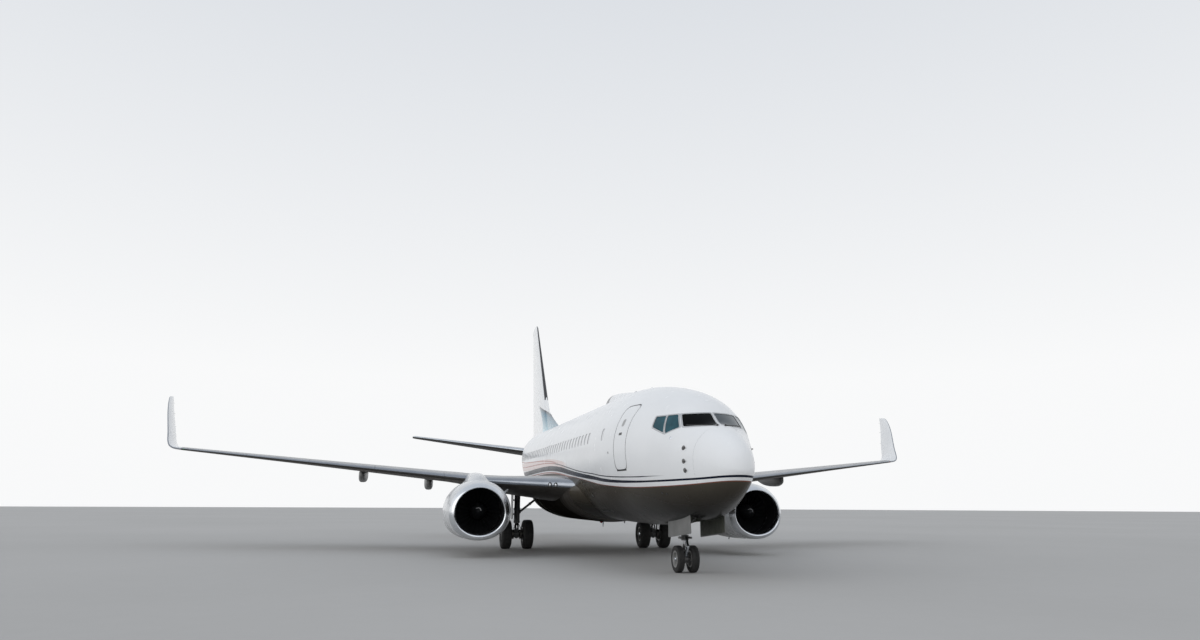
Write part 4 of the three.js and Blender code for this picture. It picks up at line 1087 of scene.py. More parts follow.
def edge_painted(piece, finishes, above, below, slats_from=None):
    """Paints a lofted surface: its top, its nose up to shares of the chord above and below, its underside.

    Outboard of slats_from the underside has lighter painted shade, and a dark painted shadow runs along the
    nose."""
    distinct = list(dict.fromkeys(finishes))
    top, nose, under = (distinct.index(material) for material in finishes)
    for material in distinct:
        piece.data.materials.append(material)
    turn = len(CHORD_SHARES) - 1
    share = np.concatenate([CHORD_SHARES[::-1], CHORD_SHARES[1:]])
    limits = np.repeat([above, below], turn)
    ahead = np.flatnonzero(np.maximum(share[:-1], share[1:]) <= limits)
    place = np.arange(len(piece.data.polygons)) % len(share)
    index = np.where(np.isin(place, ahead), nose, np.where(place >= turn, under, top))
    if slats_from is not None:
        piece.data.materials.append(slat_gap_shadow)
        piece.data.materials.append(outboard_lighter_shade)
        outer = values_of(piece.data.polygons, "center", 3)[:, 0] > slats_from
        # Outboard the underside takes lighter painted shade
        index[outer & (index == under)] = len(distinct) + 1
        # Painted shadow: a dark line along the nose, under the slats' edge
        index[outer & (place >= turn - 1) & (place <= turn + 1)] = len(distinct)
    index[-2:] = top
    piece.data.polygons.foreach_set("material_index", index.astype(np.int32))
    return piece


def middle_of(table, camber, x, share):
    """Point on a surface's middle at a share of its chord, and its half thickness there."""
    _, front, back, front_z, back_z, thickness = straight_rows(table, [x])[0]
    chord = back - front
    height = front_z + (back_z - front_z) * share + 4 * camber * share * (1 - share) * chord
    return np.array((x, front + chord * share, height)), half_thickness(share, thickness) * chord


def wing_middle(x, share):
    return middle_of(WING_SECTIONS, wing_camber(x), x, share)


def wing_middle_at(x, station):
    _, front, back = straight_rows(WING_SECTIONS, [x])[0][:3]
    return wing_middle(x, min((station - front) / (back - front), 1.0))


def tailplane_middle(x, share):
    return middle_of(TAILPLANE_SECTIONS, 0, x, share)


def fin_middle(height, share):
    _, front, back, thickness = straight_rows(FIN_SECTIONS, [height])[0]
    chord = back - front
    return np.array((0, front + chord * share, height)), half_thickness(share, thickness) * chord


def hinge_region(start, end, low, high, gap):
    """Space aft of a hinge line with a round nose about it, inside a box, wider by gap."""
    (start, start_half), (end, end_half) = start, end
    along = (end - start) / np.linalg.norm(end - start)
    aft = np.array((0, 1.0, 0)) - along * along[1]
    aft /= np.linalg.norm(aft)
    across = np.cross(along, aft)
    before, after = start - along, end + along
    behind = aft * HALF_SPACE
    corners = [across * -HALF_SPACE, across * -HALF_SPACE + behind, across * HALF_SPACE + behind,
               across * HALF_SPACE]
    region = loft("cutter", [[before + c for c in corners], [after + c for c in corners]])
    taper = (end_half - start_half) / np.linalg.norm(end - start)
    profile = [(0, start_half - taper + gap), (np.linalg.norm(after - before), end_half + taper + gap)]
    cut(region, "UNION", turned("cutter", profile, before, along, 48))
    corners = ((low[0], low[2]), (high[0], low[2]), (high[0], high[2]), (low[0], high[2]))
    limits = loft("cutter", [[(x, y, z) for x, z in corners] for y in (low[1], high[1])])
    return cut(region, "INTERSECT", limits)


def span_box(low, high, gap):
    return (low - gap, 0, 0), (high + gap, FAR, FAR)


def height_box(low, high, gap):
    return (-FAR, 0, low - gap), (FAR, FAR, high + gap)


def split_at_hinge(whole, middle, box, values, name, end_gap=END_GAP):
    """The fixed rest of a surface and the piece that turns."""
    low, high, share = values
    start, end = middle(low, share), middle(high, share)
    moving = copy_of(whole)
    moving.name = name
    cut(moving, "INTERSECT", hinge_region(start, end, *box(low, high, 0), 0.0))
    fixed = copy_of(whole)
    cut(fixed, "DIFFERENCE", hinge_region(start, end, *box(low, high, end_gap), RUNNING_GAP))
    return fixed, moving


def widened(line, gap):
    """A straight line in plan, carried on by gap at both ends, and its slope."""
    (inner, first), (outer, last) = line
    slope = (last - first) / (outer - inner)
    return (inner - gap, first - slope * gap), (outer + gap, last + slope * gap)


def aft_region(line, gap):
    """Everything aft of a flap's front edge, in plan."""
    (low, first), (high, last) = widened(line, gap)
    return prism([(low, first - gap), (high, last - gap), (high, FAR), (low, FAR)], "plan", 0, FAR)


def spoiler_region(depth, front_gap, rear_gap, end_gap):
    """Space of the spoilers, down to a depth under the wing's top."""
    rings = []
    for x, station in widened(SPOILERS, end_gap):
        nose, tail = station - front_gap, station + SPOILER_CHORD + rear_gap
        tops = []
        for edge in (nose, tail):
            place, half = wing_middle_at(x, edge)
            tops.append(place[2] + half)
        rings.append([(x, tail, tops[1] + 0.3), (x, nose, tops[0] + 0.3), (x, nose, tops[0] - depth),
                      (x, tail, tops[1] - depth * 0.6)])
    return loft("cutter", rings)


def slat_grooves():
    """Grooves along the back edges of the slats, and the gaps between them."""
    grooves = []
    for ends in SLAT_GROOVES:
        rings = []
        for x in ends:
            place, half = wing_middle(x, SLAT_SHARE)
            low, high = half - 0.012, half + 0.05
            corners = ((-GROOVE / 2, low), (GROOVE / 2, low), (GROOVE / 2, high), (-GROOVE / 2, high))
            rings.append([place + (0, along, up) for along, up in corners])
        grooves.append(loft("cutter", rings))
    for x in SLAT_ENDS:
        front, back = wing_middle(x, 0.0)[0][1] - 0.3, wing_middle(x, SLAT_SHARE)[0][1]
        low, high = x - GROOVE / 2, x + GROOVE / 2
        grooves.append(prism([(low, front), (high, front), (high, back), (low, back)], "plan", 0, FAR))
    return all_painted(door_line, grooves)


def track_fairing(x, nose, length, half_width, depth):
    """Streamlined body under the wing, square with round corners in section."""
    turns = turns_of(TRACK_SIDES)
    rings = []
    for share, size in smooth_rows(TRACK_SHAPE, np.linspace(0, 1, TRACK_RINGS)):
        station = nose + share * length
        middle, half = wing_middle_at(x, station)
        centre = middle[2] - half - share * TRACK_DROOP - depth * TRACK_SINK
        across = half_width * size * np.sign(np.cos(turns)) * np.abs(np.cos(turns)) ** TRACK_ROUND
        inside = min(depth * size, depth * TRACK_SINK + TRACK_TOP)
        reach = np.where(np.sin(turns) > 0, inside, depth * size)
        up = reach * np.sign(np.sin(turns)) * np.abs(np.sin(turns)) ** TRACK_ROUND
        rings.append(station_ring(x + across, station, centre + up))
    return paint(loft("track_fairing", rings), door_grey)


def finish_pair(piece, source, name, body, slot, node_name=None):
    """Sets up a left piece and its mirror image, shaded like the source that they were cut from, if any."""
    pieces = [piece, mirrored(piece, name + "_right")]
    piece.name = name + "_left"
    sources = [source, mirrored(source, "source")] if source else []
    for one, whole in zip(pieces, sources):
        with_skin_normals(one, whole)
    drop(*sources[1:])
    for one, (_, label) in zip(pieces, SIDES):
        target = body if body == "airframe" else body + "_" + label
        set_up(one, target, slot, *[node_name + "_" + label] if node_name else [])


def build_wings():
    whole = loft("whole_wing", span_rings(WING_SECTIONS, wing_camber))
    # Undersides are dark with painted shade, lighter outboard of SLATS_FROM, where a painted shadow lines the
    # nose
    edge_painted(whole, (wing_grey, edge_metal, dark_underside_shade), 0.075, 0.003, SLATS_FROM)
    fixed, aileron = split_at_hinge(whole, wing_middle, span_box, AILERON, "aileron")
    spoilers = cut(copy_of(whole), "INTERSECT", spoiler_region(SPOILER_DEPTH, 0, 0, 0))
    seams = []
    for x in SPOILER_SEAMS:
        low, high = x - GROOVE, x + GROOVE
        seams.append(prism([(low, 10), (high, 10), (high, 30), (low, 30)], "plan", 0, FAR))
    cut(spoilers, "DIFFERENCE", *all_painted(door_line, seams))
    flaps = {}
    for name, line in (("flap_inboard", FLAP_INBOARD), ("flap_outboard", FLAP_OUTBOARD)):
        flaps[name] = cut(copy_of(whole), "INTERSECT", aft_region(line, 0))
        cut(fixed, "DIFFERENCE", aft_region(line, SEAM))
    cut(fixed, "DIFFERENCE", spoiler_region(SPOILER_DEPTH + 0.009, RUNNING_GAP, 0.07, 0.024))
    cut(fixed, "DIFFERENCE", *slat_grooves())
    wells = [prism(box_outline(*outline, 0.02), "plan", WELL_FOOT, top)
             for outline, top in ((LEG_BAY, LEG_BAY_TOP), (TROUGH, TROUGH_TOP))]
    cut(fixed, "DIFFERENCE", *all_painted(primer, wells))
    finish_pair(fixed, whole, "wing_panel", "airframe", "wing_grey", "wing")
    finish_pair(aileron, whole, "aileron_surface", "aileron", "wing_grey", "aileron")
    finish_pair(spoilers, whole, "spoiler_panels", "spoilers", "wing_grey", "spoilers")
    for name, flap in flaps.items():
        finish_pair(flap, whole, name + "_panel", "airframe", "wing_grey", name)
    drop(whole)
    tracks = joined("tracks", [track_fairing(*row) for row in TRACK_FAIRINGS])
    finish_pair(tracks, None, "flap_track_fairings", "airframe", "wing_grey")


def build_winglets():
    table = np.column_stack([reach_along(WINGLET_SECTIONS[:, [0, 1]]), WINGLET_SECTIONS])
    reach = table[:, 0]
    places = np.concatenate([steps(0, reach[4], 0.04), steps(reach[4], reach[5], 0.12)[1:], reach[6:]])
    rings = []
    for _, x, height, lean, front, chord, thickness in smooth_rows(table, places):
        tilt = math.radians(lean)
        up = np.array((-math.sin(tilt), 0, math.cos(tilt)))
        trailing = (x, front + chord, height + WINGLET_RISE)
        rings.append(section_ring((x, front, height), trailing, up, thickness, WING_CAMBER))
    piece = edge_painted(loft("winglet", rings), (white_paint, edge_metal, white_paint), 0.027, 0.075)
    finish_pair(piece, None, "winglet_surface", "airframe", "white_paint", "winglet")


def build_dorsal():
    """Fin's forward foot: a thin sharp edge that widens downwards and aft."""
    line = np.array(DORSAL_LINE)
    first, last = line[0, 0], line[-1, 0]
    rings = []
    for station in steps(first, last, 0.15):
        top = np.interp(station, line[:, 0], line[:, 1])
        half = 0.012 + 0.13 * ((station - first) / (last - first)) ** 0.7
        levels = [*DORSAL_SECTION, (top - DORSAL_FOOT, 1.2)]
        side = [(half * wide, station, top - down) for down, wide in levels]
        rings.append([(0, station, top), *side, *[(-x, s, z) for x, s, z in side[::-1]]])
    return paint(loft("dorsal", rings, SOFT_ANGLE), fin_white)


def build_fin():
    whole = edge_painted(loft("whole_fin", fin_rings()), (fin_white, dark_strip, fin_white), 0.03, 0.03)
    faces_where(whole, 0, lambda c: c[:, 2] < STRIP_FOOT)
    fixed, rudder = split_at_hinge(whole, fin_middle, height_box, RUDDER, "rudder_surface", RUDDER_END_GAP)
    dorsal = build_dorsal()
    with_skin_normals(fixed, whole)
    with_skin_normals(rudder, whole)
    set_up(joined("fin_surface", [fixed, dorsal]), "airframe", "white_paint", "fin")
    set_up(rudder, "rudder", "white_paint", "rudder")
    drop(whole)


def build_tailplane():
    whole = loft("whole_tailplane", span_rings(TAILPLANE_SECTIONS))
    # The tailplane's underside is dark with painted shade
    edge_painted(whole, (wing_grey, bare_metal, dark_underside_shade), 0.08, 0.003)
    fixed, elevator = split_at_hinge(whole, tailplane_middle, span_box, ELEVATOR, "elevator")
    finish_pair(fixed, whole, "tailplane_surface", "airframe", "wing_grey", "tailplane")
    finish_pair(elevator, whole, "elevator_surface", "elevator", "wing_grey", "elevator")
    drop(whole)


# Engines: distance aft of the lip, reach of the cowl upwards, sideways and downwards from the axis, and the
# power that makes its lower half squarer below 1
INLET_PROFILE = np.array([
    (1.0, 1.035, 1.115, 0.94, 0.88), (0.6, 1.012, 1.075, 0.925, 0.9), (0.28, 0.955, 1.0, 0.9, 0.93),
    (0.1, 0.895, 0.925, 0.85, 0.97), (0.02, 0.85, 0.866, 0.782, 1), (0.0, 0.828, 0.838, 0.745, 1),
    (0.02, 0.808, 0.812, 0.711, 1), (0.11, 0.783, 0.783, 0.689, 1), (0.3, 0.775, 0.775, 0.698, 1),
    (0.6, 0.785, 0.785, 0.761, 1), (1.0, 0.79, 0.79, 0.79, 1),
])
FAN_COWL_PROFILE = np.array([
    (3.53, 0.888, 0.893, 0.886, 1), (3.1, 0.945, 0.99, 0.92, 0.95), (2.4, 1.01, 1.095, 0.94, 0.9),
    (1.7, 1.04, 1.14, 0.95, 0.88), (1.003, 1.035, 1.115, 0.94, 0.88),
])
FAN_COWL_INNER = np.array([
    (s, r, r, r, 1) for s, r in ((1.003, 0.79), (1.45, 0.79), (1.85, 0.85), (2.6, 0.878), (3.53, 0.876))
])
INLET_DROOP = 0.065
LIP_METAL_END = 0.24
LINER_START = 0.22
# Faces nearer to the axis than these are liner, in the inlet and in the fan cowl
LINER_RADII = (0.83, 0.882)
ENGINE_SIDES = 96
CORE_PROFILE = [
    (1.3, 0.3), (1.3, 0.789), (1.42, 0.789), (1.42, 0.48), (1.9, 0.6), (2.3, 0.622), (2.9, 0.6), (3.4, 0.54),
    (4.1, 0.4), (4.43, 0.33), (4.43, 0.318), (4.2, 0.318), (4.2, 0.24), (4.5, 0.14), (4.83, 0.02),
]
SPINNER_PROFILE = [
    (0.52, 0.0), (0.53, 0.02), (0.56, 0.055), (0.64, 0.13), (0.78, 0.215), (0.9, FAN_HUB), (1.18, FAN_HUB),
    (1.18, 0.068),
]
# Section of a fan blade: place along the chord and through it, as shares
BLADE_SECTION = ((-1, 0), (-0.5, 0.7), (0, 1), (0.5, 0.8), (1, 0), (0.5, -0.5), (0, -0.7), (-0.5, -0.5))
# Strake on the cowl's inner side: radius and station of its corners, at an angle over level
STRAKE = ((1.03, 11.6), (1.03, 12.75), (1.38, 12.7), (1.34, 12.35))
STRAKE_ANGLE = 33
LATCH_STATIONS = (11.55, 11.95, 12.4, 12.85)
# Vanes behind the fan: their radii, their front and rear stations, and how far they lean
VANE_RADII = (0.52, 0.8)
VANE_STATIONS = (11.84, 12.0)
VANE_LEAN = 0.03

# Pylon: side outline, half width, and how far it flares out towards the wing
PYLON_OUTLINE = [
    (11.05, 2.49), (11.4, 2.66), (12.2, 2.79), (13.6, 2.86), (14.2, 2.8), (16.5, 2.5), (16.5, 2.33),
    (15.7, 2.15), (14.7, 1.96), (11.85, 1.96), (11.6, 2.3),
]
PYLON_HALF = 0.26
PYLON_FLARE = 0.12


def along_profile(profile, size=0.03):
    """A cowl profile with points close together on a smooth line."""
    reach = reach_along(profile[:, :2])
    return smooth_rows(np.column_stack([reach, profile]), steps(0, reach[-1], size))[:, 1:]


def duct(name, profile, side):
    """Closed ring of a cowl round the engine's axis, which droops towards the lip."""
    rings = []
    middle = ENGINE_HEIGHT - INLET_DROOP * np.clip(1 - profile[:, 0] / COWL_SPLIT, 0, 1) ** 2
    for turn in turns_of(ENGINE_SIDES):
        across, up = math.cos(turn), math.sin(turn)
        power = profile[:, 4] if up < 0 else 1.0
        x = side * ENGINE_X + profile[:, 2] * math.copysign(1, across) * abs(across) ** power
        z = middle + profile[:, 1 if up > 0 else 3] * math.copysign(1, up) * abs(up) ** power
        rings.append(np.column_stack([x, LIP_STATION + profile[:, 0], z]))
    return loop_loft(name, rings)


def build_engine(side, label):
    axis = (side * ENGINE_X, LIP_STATION, ENGINE_HEIGHT)

    def radius_of(centres):
        return np.hypot(centres[:, 0] - axis[0], centres[:, 2] - axis[2])

    inlet = paint(duct("inlet_cowl_skin_" + label, along_profile(INLET_PROFILE, 0.02), side), cowl_white)
    inlet.data.materials.append(lip_metal)
    inlet.data.materials.append(liner)
    faces_where(inlet, 1, lambda c: c[:, 1] < LIP_STATION + LIP_METAL_END)
    faces_where(inlet, 2, lambda c: (c[:, 1] > LIP_STATION + LINER_START) & (radius_of(c) < LINER_RADII[0]))
    set_up(inlet, "airframe", "bare_metal", "inlet_cowl_" + label)
    profile = np.vstack([along_profile(FAN_COWL_PROFILE), along_profile(FAN_COWL_INNER)])
    cowl = paint(duct("fan_cowl_skin_" + label, profile, side), cowl_white)
    cowl.data.materials.append(liner)
    faces_where(cowl, 1, lambda c: radius_of(c) < LINER_RADII[1])
    set_up(cowl, "airframe", "white_paint", "fan_cowl_" + label)
    core = paint(turned("core_" + label, CORE_PROFILE, axis, (0, 1, 0), 72), dark_metal)
    set_up(core, "airframe", "dark_metal", "engine_core_" + label)
    set_up(joined("engine_trim_" + label, engine_trim(side)), "airframe", "white_paint")
    spinner = paint(turned("spinner", SPINNER_PROFILE, axis, (0, 1, 0), 64, SOFT_ANGLE), fan_metal)
    fan = joined("fan_rotor_" + label, [spinner, swirl(axis), *fan_blades(axis)])
    set_up(fan, "fan_" + label, "fan_metal", "fan_" + label)


def swirl(axis):
    """Pale mark that winds out over the spinner."""
    points = []
    for share in np.linspace(0, 1, 12):
        along = 0.575 + 0.05 * share
        radius = np.interp(along, *zip(*SPINNER_PROFILE[2:5])) + 0.002
        turn = 2.4 * share
        points.append((axis[0] + radius * math.cos(turn), axis[1] + along, axis[2] + radius * math.sin(turn)))
    return paint(tube(points, 0.005, sides=6), mark_white)


def engine_trim(side):
    """Strake, latches, drain and the vanes behind the fan."""
    x, z = side * ENGINE_X, ENGINE_HEIGHT
    turn = math.radians(STRAKE_ANGLE)
    corners = [(x - side * radius * math.cos(turn), station, z + radius * math.sin(turn))
               for radius, station in STRAKE]
    pieces = [paint(plate(corners, 0.03), cowl_white)]
    stations, _, _, below, _ = FAN_COWL_PROFILE[::-1].T
    for station in LATCH_STATIONS:
        low = z - np.interp(station - LIP_STATION, stations, below)
        latch = block((x - 0.04, station, low - 0.006), (x + 0.04, station + 0.1, low + 0.02), 0.006)
        pieces.append(paint(latch, dark_metal))
    pieces.append(paint(rod((x, 13.1, z - 0.9), (x, 13.16, z - 1.02), 0.018), dark_metal))
    ahead, behind = ((0, station, 0) for station in VANE_STATIONS)
    for k in range(VANES):
        angle = 2 * math.pi * (k + 0.5) / VANES
        out = np.array((math.cos(angle), 0, math.sin(angle)))
        swing = np.array((-math.sin(angle), 0, math.cos(angle))) * VANE_LEAN
        start, end = (np.array((x, 0, z)) + out * radius for radius in VANE_RADII)
        corners = [start + ahead, end + ahead, end + swing + behind, start + swing + behind]
        pieces.append(paint(plate(corners, 0.008), dark_metal))
    return pieces


def fan_blades(axis):
    """Wide twisted blades from hub to tip."""
    blades = []
    for k in range(BLADES):
        turn = 2 * math.pi * (k + 0.3) / BLADES
        rings = []
        for share in np.linspace(0, 1, 9):
            radius = FAN_HUB - 0.02 + share * (FAN_TIP - FAN_HUB + 0.008)
            reach = 0.11 + 0.04 * share
            pitch = math.radians(70 - 40 * share)
            ring = []
            for chordwise, through in BLADE_SECTION:
                a, b = chordwise * reach, through * 0.012 * (1.3 - share) + 0.02 * (1 - chordwise ** 2)
                across = a * math.cos(pitch) - b * math.sin(pitch)
                along = a * math.sin(pitch) + b * math.cos(pitch)
                angle = turn + across / radius
                ring.append((axis[0] + radius * math.sin(angle), axis[1] + 1.03 + along * 0.85,
                             axis[2] + radius * math.cos(angle)))
            rings.append(ring)
        blades.append(loft("blade", rings, 60))
    return all_painted(fan_metal, blades)


def pylon_span(height):
    """Stations where the pylon's side outline starts and ends at a height."""
    crossings = []
    for (s, z), (next_s, next_z) in zip(PYLON_OUTLINE, PYLON_OUTLINE[1:] + PYLON_OUTLINE[:1]):
        if (z - height) * (next_z - height) <= 0 and z != next_z:
            crossings.append(s + (next_s - s) * (height - z) / (next_z - z))
    return min(crossings), max(crossings)


def build_pylons():
    shares = (1 - np.cos(np.linspace(0, math.pi, 24))) / 2
    for side, label in SIDES:
        rings = []
        for height in np.concatenate([steps(1.965, 2.8, 0.06), [2.83, 2.848]]):
            front, back = pylon_span(height)
            half = PYLON_HALF * (1 - max(0.0, (height - 2.7) / 0.22) ** 2 * 0.75)
            half += PYLON_FLARE * max(0.0, 1 - abs(height - 2.5) / 0.25) ** 2
            width = np.clip(np.sqrt(np.minimum(shares * (back - front) / 0.55, 1.0)), 0, 1)
            width *= np.clip(np.sqrt(np.maximum((1 - shares) * (back - front) / 0.9, 0.0)), 0.06, 1)
            middle = side * ENGINE_X
            line = [(middle + half * w, front + t * (back - front), height) for t, w in zip(shares, width)]
            rings.append(line + [(2 * side * ENGINE_X - x, s, z) for x, s, z in line[-1:0:-1]])
        pylon = paint(loft("pylon_skin_" + label, rings, SOFT_ANGLE), cowl_white)
        set_up(pylon, "airframe", "white_paint", "pylon_" + label)


# Fittings on the outside
PROBES = [(1.458, 3.026), (1.43, 2.713), (1.421, 2.5)]
WIPER = ((0.1, 3.545), (0.3, 3.56), (0.5, 3.575), (0.68, 3.585))
WICK_LENGTH = 0.12
# Hump on the crown, and the station from which its rear is painted grey as painted shade
HUMP_START = 8.0
HUMP_LENGTH = 4.3
HUMP_SINK = 0.08
HUMP_HEIGHT = 0.48
HUMP_HALF = 0.36
HUMP_SHADE_START = 11.3
# Share of its length over which the hump rises
HUMP_BLUNT = 0.85
# Blades on the crown and under the keel: station, height, chord
CROWN_BLADES = ((6.9, 0.1, 0.22), (14.4, 0.2, 0.3), (18.6, 0.2, 0.3))
KEEL_BLADES = ((6.4, 0.14, 0.24), (22.0, 0.16, 0.25))
# Lamps in the wing roots, and the wing tip's lamp: span positions
ROOT_LAMPS = (2.23, 2.4)
TIP_LAMP = 16.45
BOWL = [(-0.14, 0.083), (-0.01, 0.083), (0.008, 0.078), (0.01, 0.05), (0.0, 0.046)]
LENS = [(0.0, 0.05), (0.01, 0.042), (0.016, 0.024), (0.019, 0.008)]


def blade(place, up, height, chord, material, sweep=0.5, thickness=0.14):
    """Small swept blade that stands on a surface and runs along the body."""
    up = np.asarray(up, float) / np.linalg.norm(up)
    place = np.asarray(place, float)
    across = np.cross((0, 1.0, 0), up)
    rings = []
    for share in (-0.15, 0.0, 0.5, 0.85, 0.97, 1.0):
        length = chord * (1 - 0.4 * max(share, 0)) * (1 if share < 0.9 else 1 - (share - 0.9) * 4)
        leading = place + up * height * share + (0, sweep * height * max(share, 0) - chord / 2, 0)
        rings.append(section_ring(leading, leading + (0, length, 0), across, thickness))
    return paint(loft("blade", rings, 40), material)


def dome(place, up, radius, material, height=0.7):
    levels = ((0, 1), (0.6, 0.8), (0.9, 0.45), (1, 0.1))
    profile = [(-0.03, radius), *[(radius * height * rise, radius * wide) for rise, wide in levels]]
    return paint(turned("dome", profile, place, up, 24, SOFT_ANGLE), material)


def skin_place(station, height, side):
    """Point on the body's skin at a side, and the way out of it there."""
    half = side_of_body(station, height)
    slope = (side_of_body(station + 0.02, height) - side_of_body(station - 0.02, height)) / 0.04
    rise = (side_of_body(station, height + 0.02) - side_of_body(station, height - 0.02)) / 0.04
    out = np.array((side, -slope, -rise))
    return np.array((side * half, station, height)), out / np.linalg.norm(out)


def front_place(x, height, lift):
    """Point just off the body's skin at an x and a height, on the slope of the nose."""
    low, high = 0.8, 3.2
    for _ in range(40):
        middle = (low + high) / 2
        if side_of_body(middle, height) < abs(x):
            low = middle
        else:
            high = middle
    _, out = skin_place(high, height, 1 if x >= 0 else -1)
    return np.array((x, high, height)) + out * lift


def crown_height(station):
    return attitude(station) + body_rows([station])[0][1]


def keel_height(station):
    return attitude(station) + body_rows([station])[0][2]


def build_probes():
    """Air data probes on their feet and discs, and small round ports, on both sides."""
    pieces = []
    for side, _ in SIDES:
        for station, height in PROBES:
            place, out = skin_place(station, height, side)
            aft = np.array((0, 1.0, 0)) - out * out[1]
            aft /= np.linalg.norm(aft)
            foot = [place - aft * 0.06 - out * 0.01, place + aft * 0.06 - out * 0.01,
                    place + out * 0.036 - aft * 0.02, place + out * 0.036 - aft * 0.06]
            pieces.append(paint(plate(foot, 0.026), hose_black))
            tip = place + out * 0.034
            pieces.append(paint(rod(tip - aft * 0.1, tip, 0.01, end_radius=0.014), dark_metal))
            base = turned("base", [(-0.01, 0.058), (0.003, 0.058), (0.005, 0.052)], place, out, 24)
            pieces.append(paint(base, gasket))
        for station, height, material in ((5.094, 3.117, gasket), (1.954, 3.294, bare_metal),
                                          (2.556, 1.997, hose_black), (2.4, 1.97, hose_black)):
            place, out = skin_place(station, height, side)
            port = turned("port", [(-0.01, 0.034), (0.002, 0.034), (0.003, 0.03)], place, out, 24)
            pieces.append(paint(port, material))
    set_up(joined("air_data_probes", pieces), "airframe", "dark_metal")


def build_wipers():
    pieces = []
    for side, _ in SIDES:
        pieces.append(tube([front_place(side * x, height, 0.016) for x, height in WIPER], 0.01))
        pivot = front_place(side * WIPER[0][0], WIPER[0][1], 0.0)
        pieces.append(rod(pivot + (0, 0.03, -0.02), pivot + (0, -0.03, 0.02), 0.022))
    set_up(joined("wipers", all_painted(hose_black, pieces)), "airframe", "dark_metal")


def build_window_frames():
    """Raised metal frames round the cockpit panes."""
    frames = []
    for side, _ in SIDES:
        for outer, inner in zip(cockpit_panes(side, FRAME_WIDTH), cockpit_panes(side, PANE_GAP)):
            ring = skin_panel("frame", *outer, *FRAME_LAYER)
            frames.append(paint(cut(ring, "DIFFERENCE", prism(*inner[:4])), frame_metal))
    frames = joined("cockpit_window_frames", frames)
    with_skin_normals(frames, whole_body, 0.01)
    set_up(frames, "airframe", "bare_metal")


def build_door_fittings():
    """Handles, sill plates and small ports on and under the doors."""
    pieces = []
    for name, side, stations, heights in DOORS:
        middle = sum(stations) / 2
        sill = [(stations[0] + 0.06, heights[0] - 0.04), (stations[1] - 0.06, heights[0] - 0.005)]
        level = heights[0] + 0.55 * (heights[1] - heights[0])
        handle = [(middle - 0.09, level - 0.035), (middle + 0.09, level + 0.035)]
        port = [(middle - 0.08, level + 0.2), (middle + 0.08, level + 0.4)]
        rows = [(sill, 0.015, 0.006, hose_black), (handle, 0.015, 0.002, door_line)]
        if not name.startswith("cargo"):
            rows.append((port, 0.07, 0.0015, window_rim))
        for corners, radius, lift, material in rows:
            outline = box_outline(*corners, radius)
            fitting = skin_panel("fitting", outline, "side", *x_range(side), stations, lift, -0.01)
            pieces.append(paint(fitting, material))
    fittings = joined("door_fittings", pieces)
    with_skin_normals(fittings, whole_body, 0.01)
    set_up(fittings, "airframe", "dark_metal")


def crown_hump():
    """Low cover of an aerial on the crown, blunt ahead and behind."""
    turns = turns_of(32)
    rings = []
    for share in (1 - np.cos(np.linspace(0.04, math.pi - 0.04, 48))) / 2:
        station = HUMP_START + HUMP_LENGTH * share
        size = min(1.0, share / HUMP_BLUNT) ** 0.5 * math.sqrt(1 - share ** 12)
        height = crown_height(station) - HUMP_SINK + HUMP_HEIGHT * size * np.sin(turns)
        rings.append(station_ring(HUMP_HALF * size * np.cos(turns), station, height))
    hump = paint(loft("hump", rings, SOFT_ANGLE), white_paint)
    # Painted shade: the hump's rear is grey
    hump.data.materials.append(leg_door_grey)
    faces_where(hump, 1, lambda c: c[:, 1] > HUMP_SHADE_START)
    return hump


def build_antennas():
    up, down = (0, 0, 1), (0, 0, -1)
    pieces = [blade((0, station, crown_height(station)), up, height, chord, white_paint)
              for station, height, chord in CROWN_BLADES]
    pieces += [blade((0, station, keel_height(station)), down, height, chord, white_paint)
               for station, height, chord in KEEL_BLADES]
    pieces += [
        crown_hump(),
        blade((0, 8.9, crown_height(8.9) + 0.02), up, 0.16, 0.6, pale_grey),
        blade((0.35, 15.0, 1.16), down, 0.27, 0.16, bare_metal, 0.35, 0.3),
        blade((-0.35, 21.6, keel_height(21.6) + 0.08), down, 0.22, 0.14, bare_metal, 0.35, 0.3),
        blade((0, 10.3, keel_height(10.3)), down, 0.1, 0.16, dark_metal),
        dome((0, 13.5, crown_height(13.5)), up, 0.07, beacon_red, 1.2),
        dome((0, 13.8, 1.14), down, 0.07, beacon_red, 1.2),
    ]
    set_up(joined("antennas_and_beacons", pieces), "airframe", "white_paint")


def build_lights():
    """Landing lights in the wing roots and lamps at the tips and the tail."""
    pieces = []
    for side, _ in SIDES:
        for x in ROOT_LAMPS:
            place, _ = wing_middle(x, 0.0)
            spot, outwards = (side * x, place[1], place[2]), (0.75 * side, -0.67, 0)
            pieces.append(paint(turned("bezel", BOWL, spot, outwards), hose_black))
            pieces.append(paint(turned("lens", LENS, spot, outwards, 32, 60), lamp_glass))
        place, _ = wing_middle(TIP_LAMP, 0.0)
        spot = (side * TIP_LAMP, place[1] + 0.02, place[2])
        pieces.append(dome(spot, (0.15 * side, -1, 0), 0.03, lens_red if side > 0 else lens_green, 0.9))
    tail = attitude(BODY_END) + TAIL_LAMP_LEVEL
    pieces.append(dome((0, BODY_END + 0.01, tail), (0, 1, 0), 0.03, lamp_glass))
    set_up(joined("outside_lights", pieces), "airframe", "cockpit_glass")


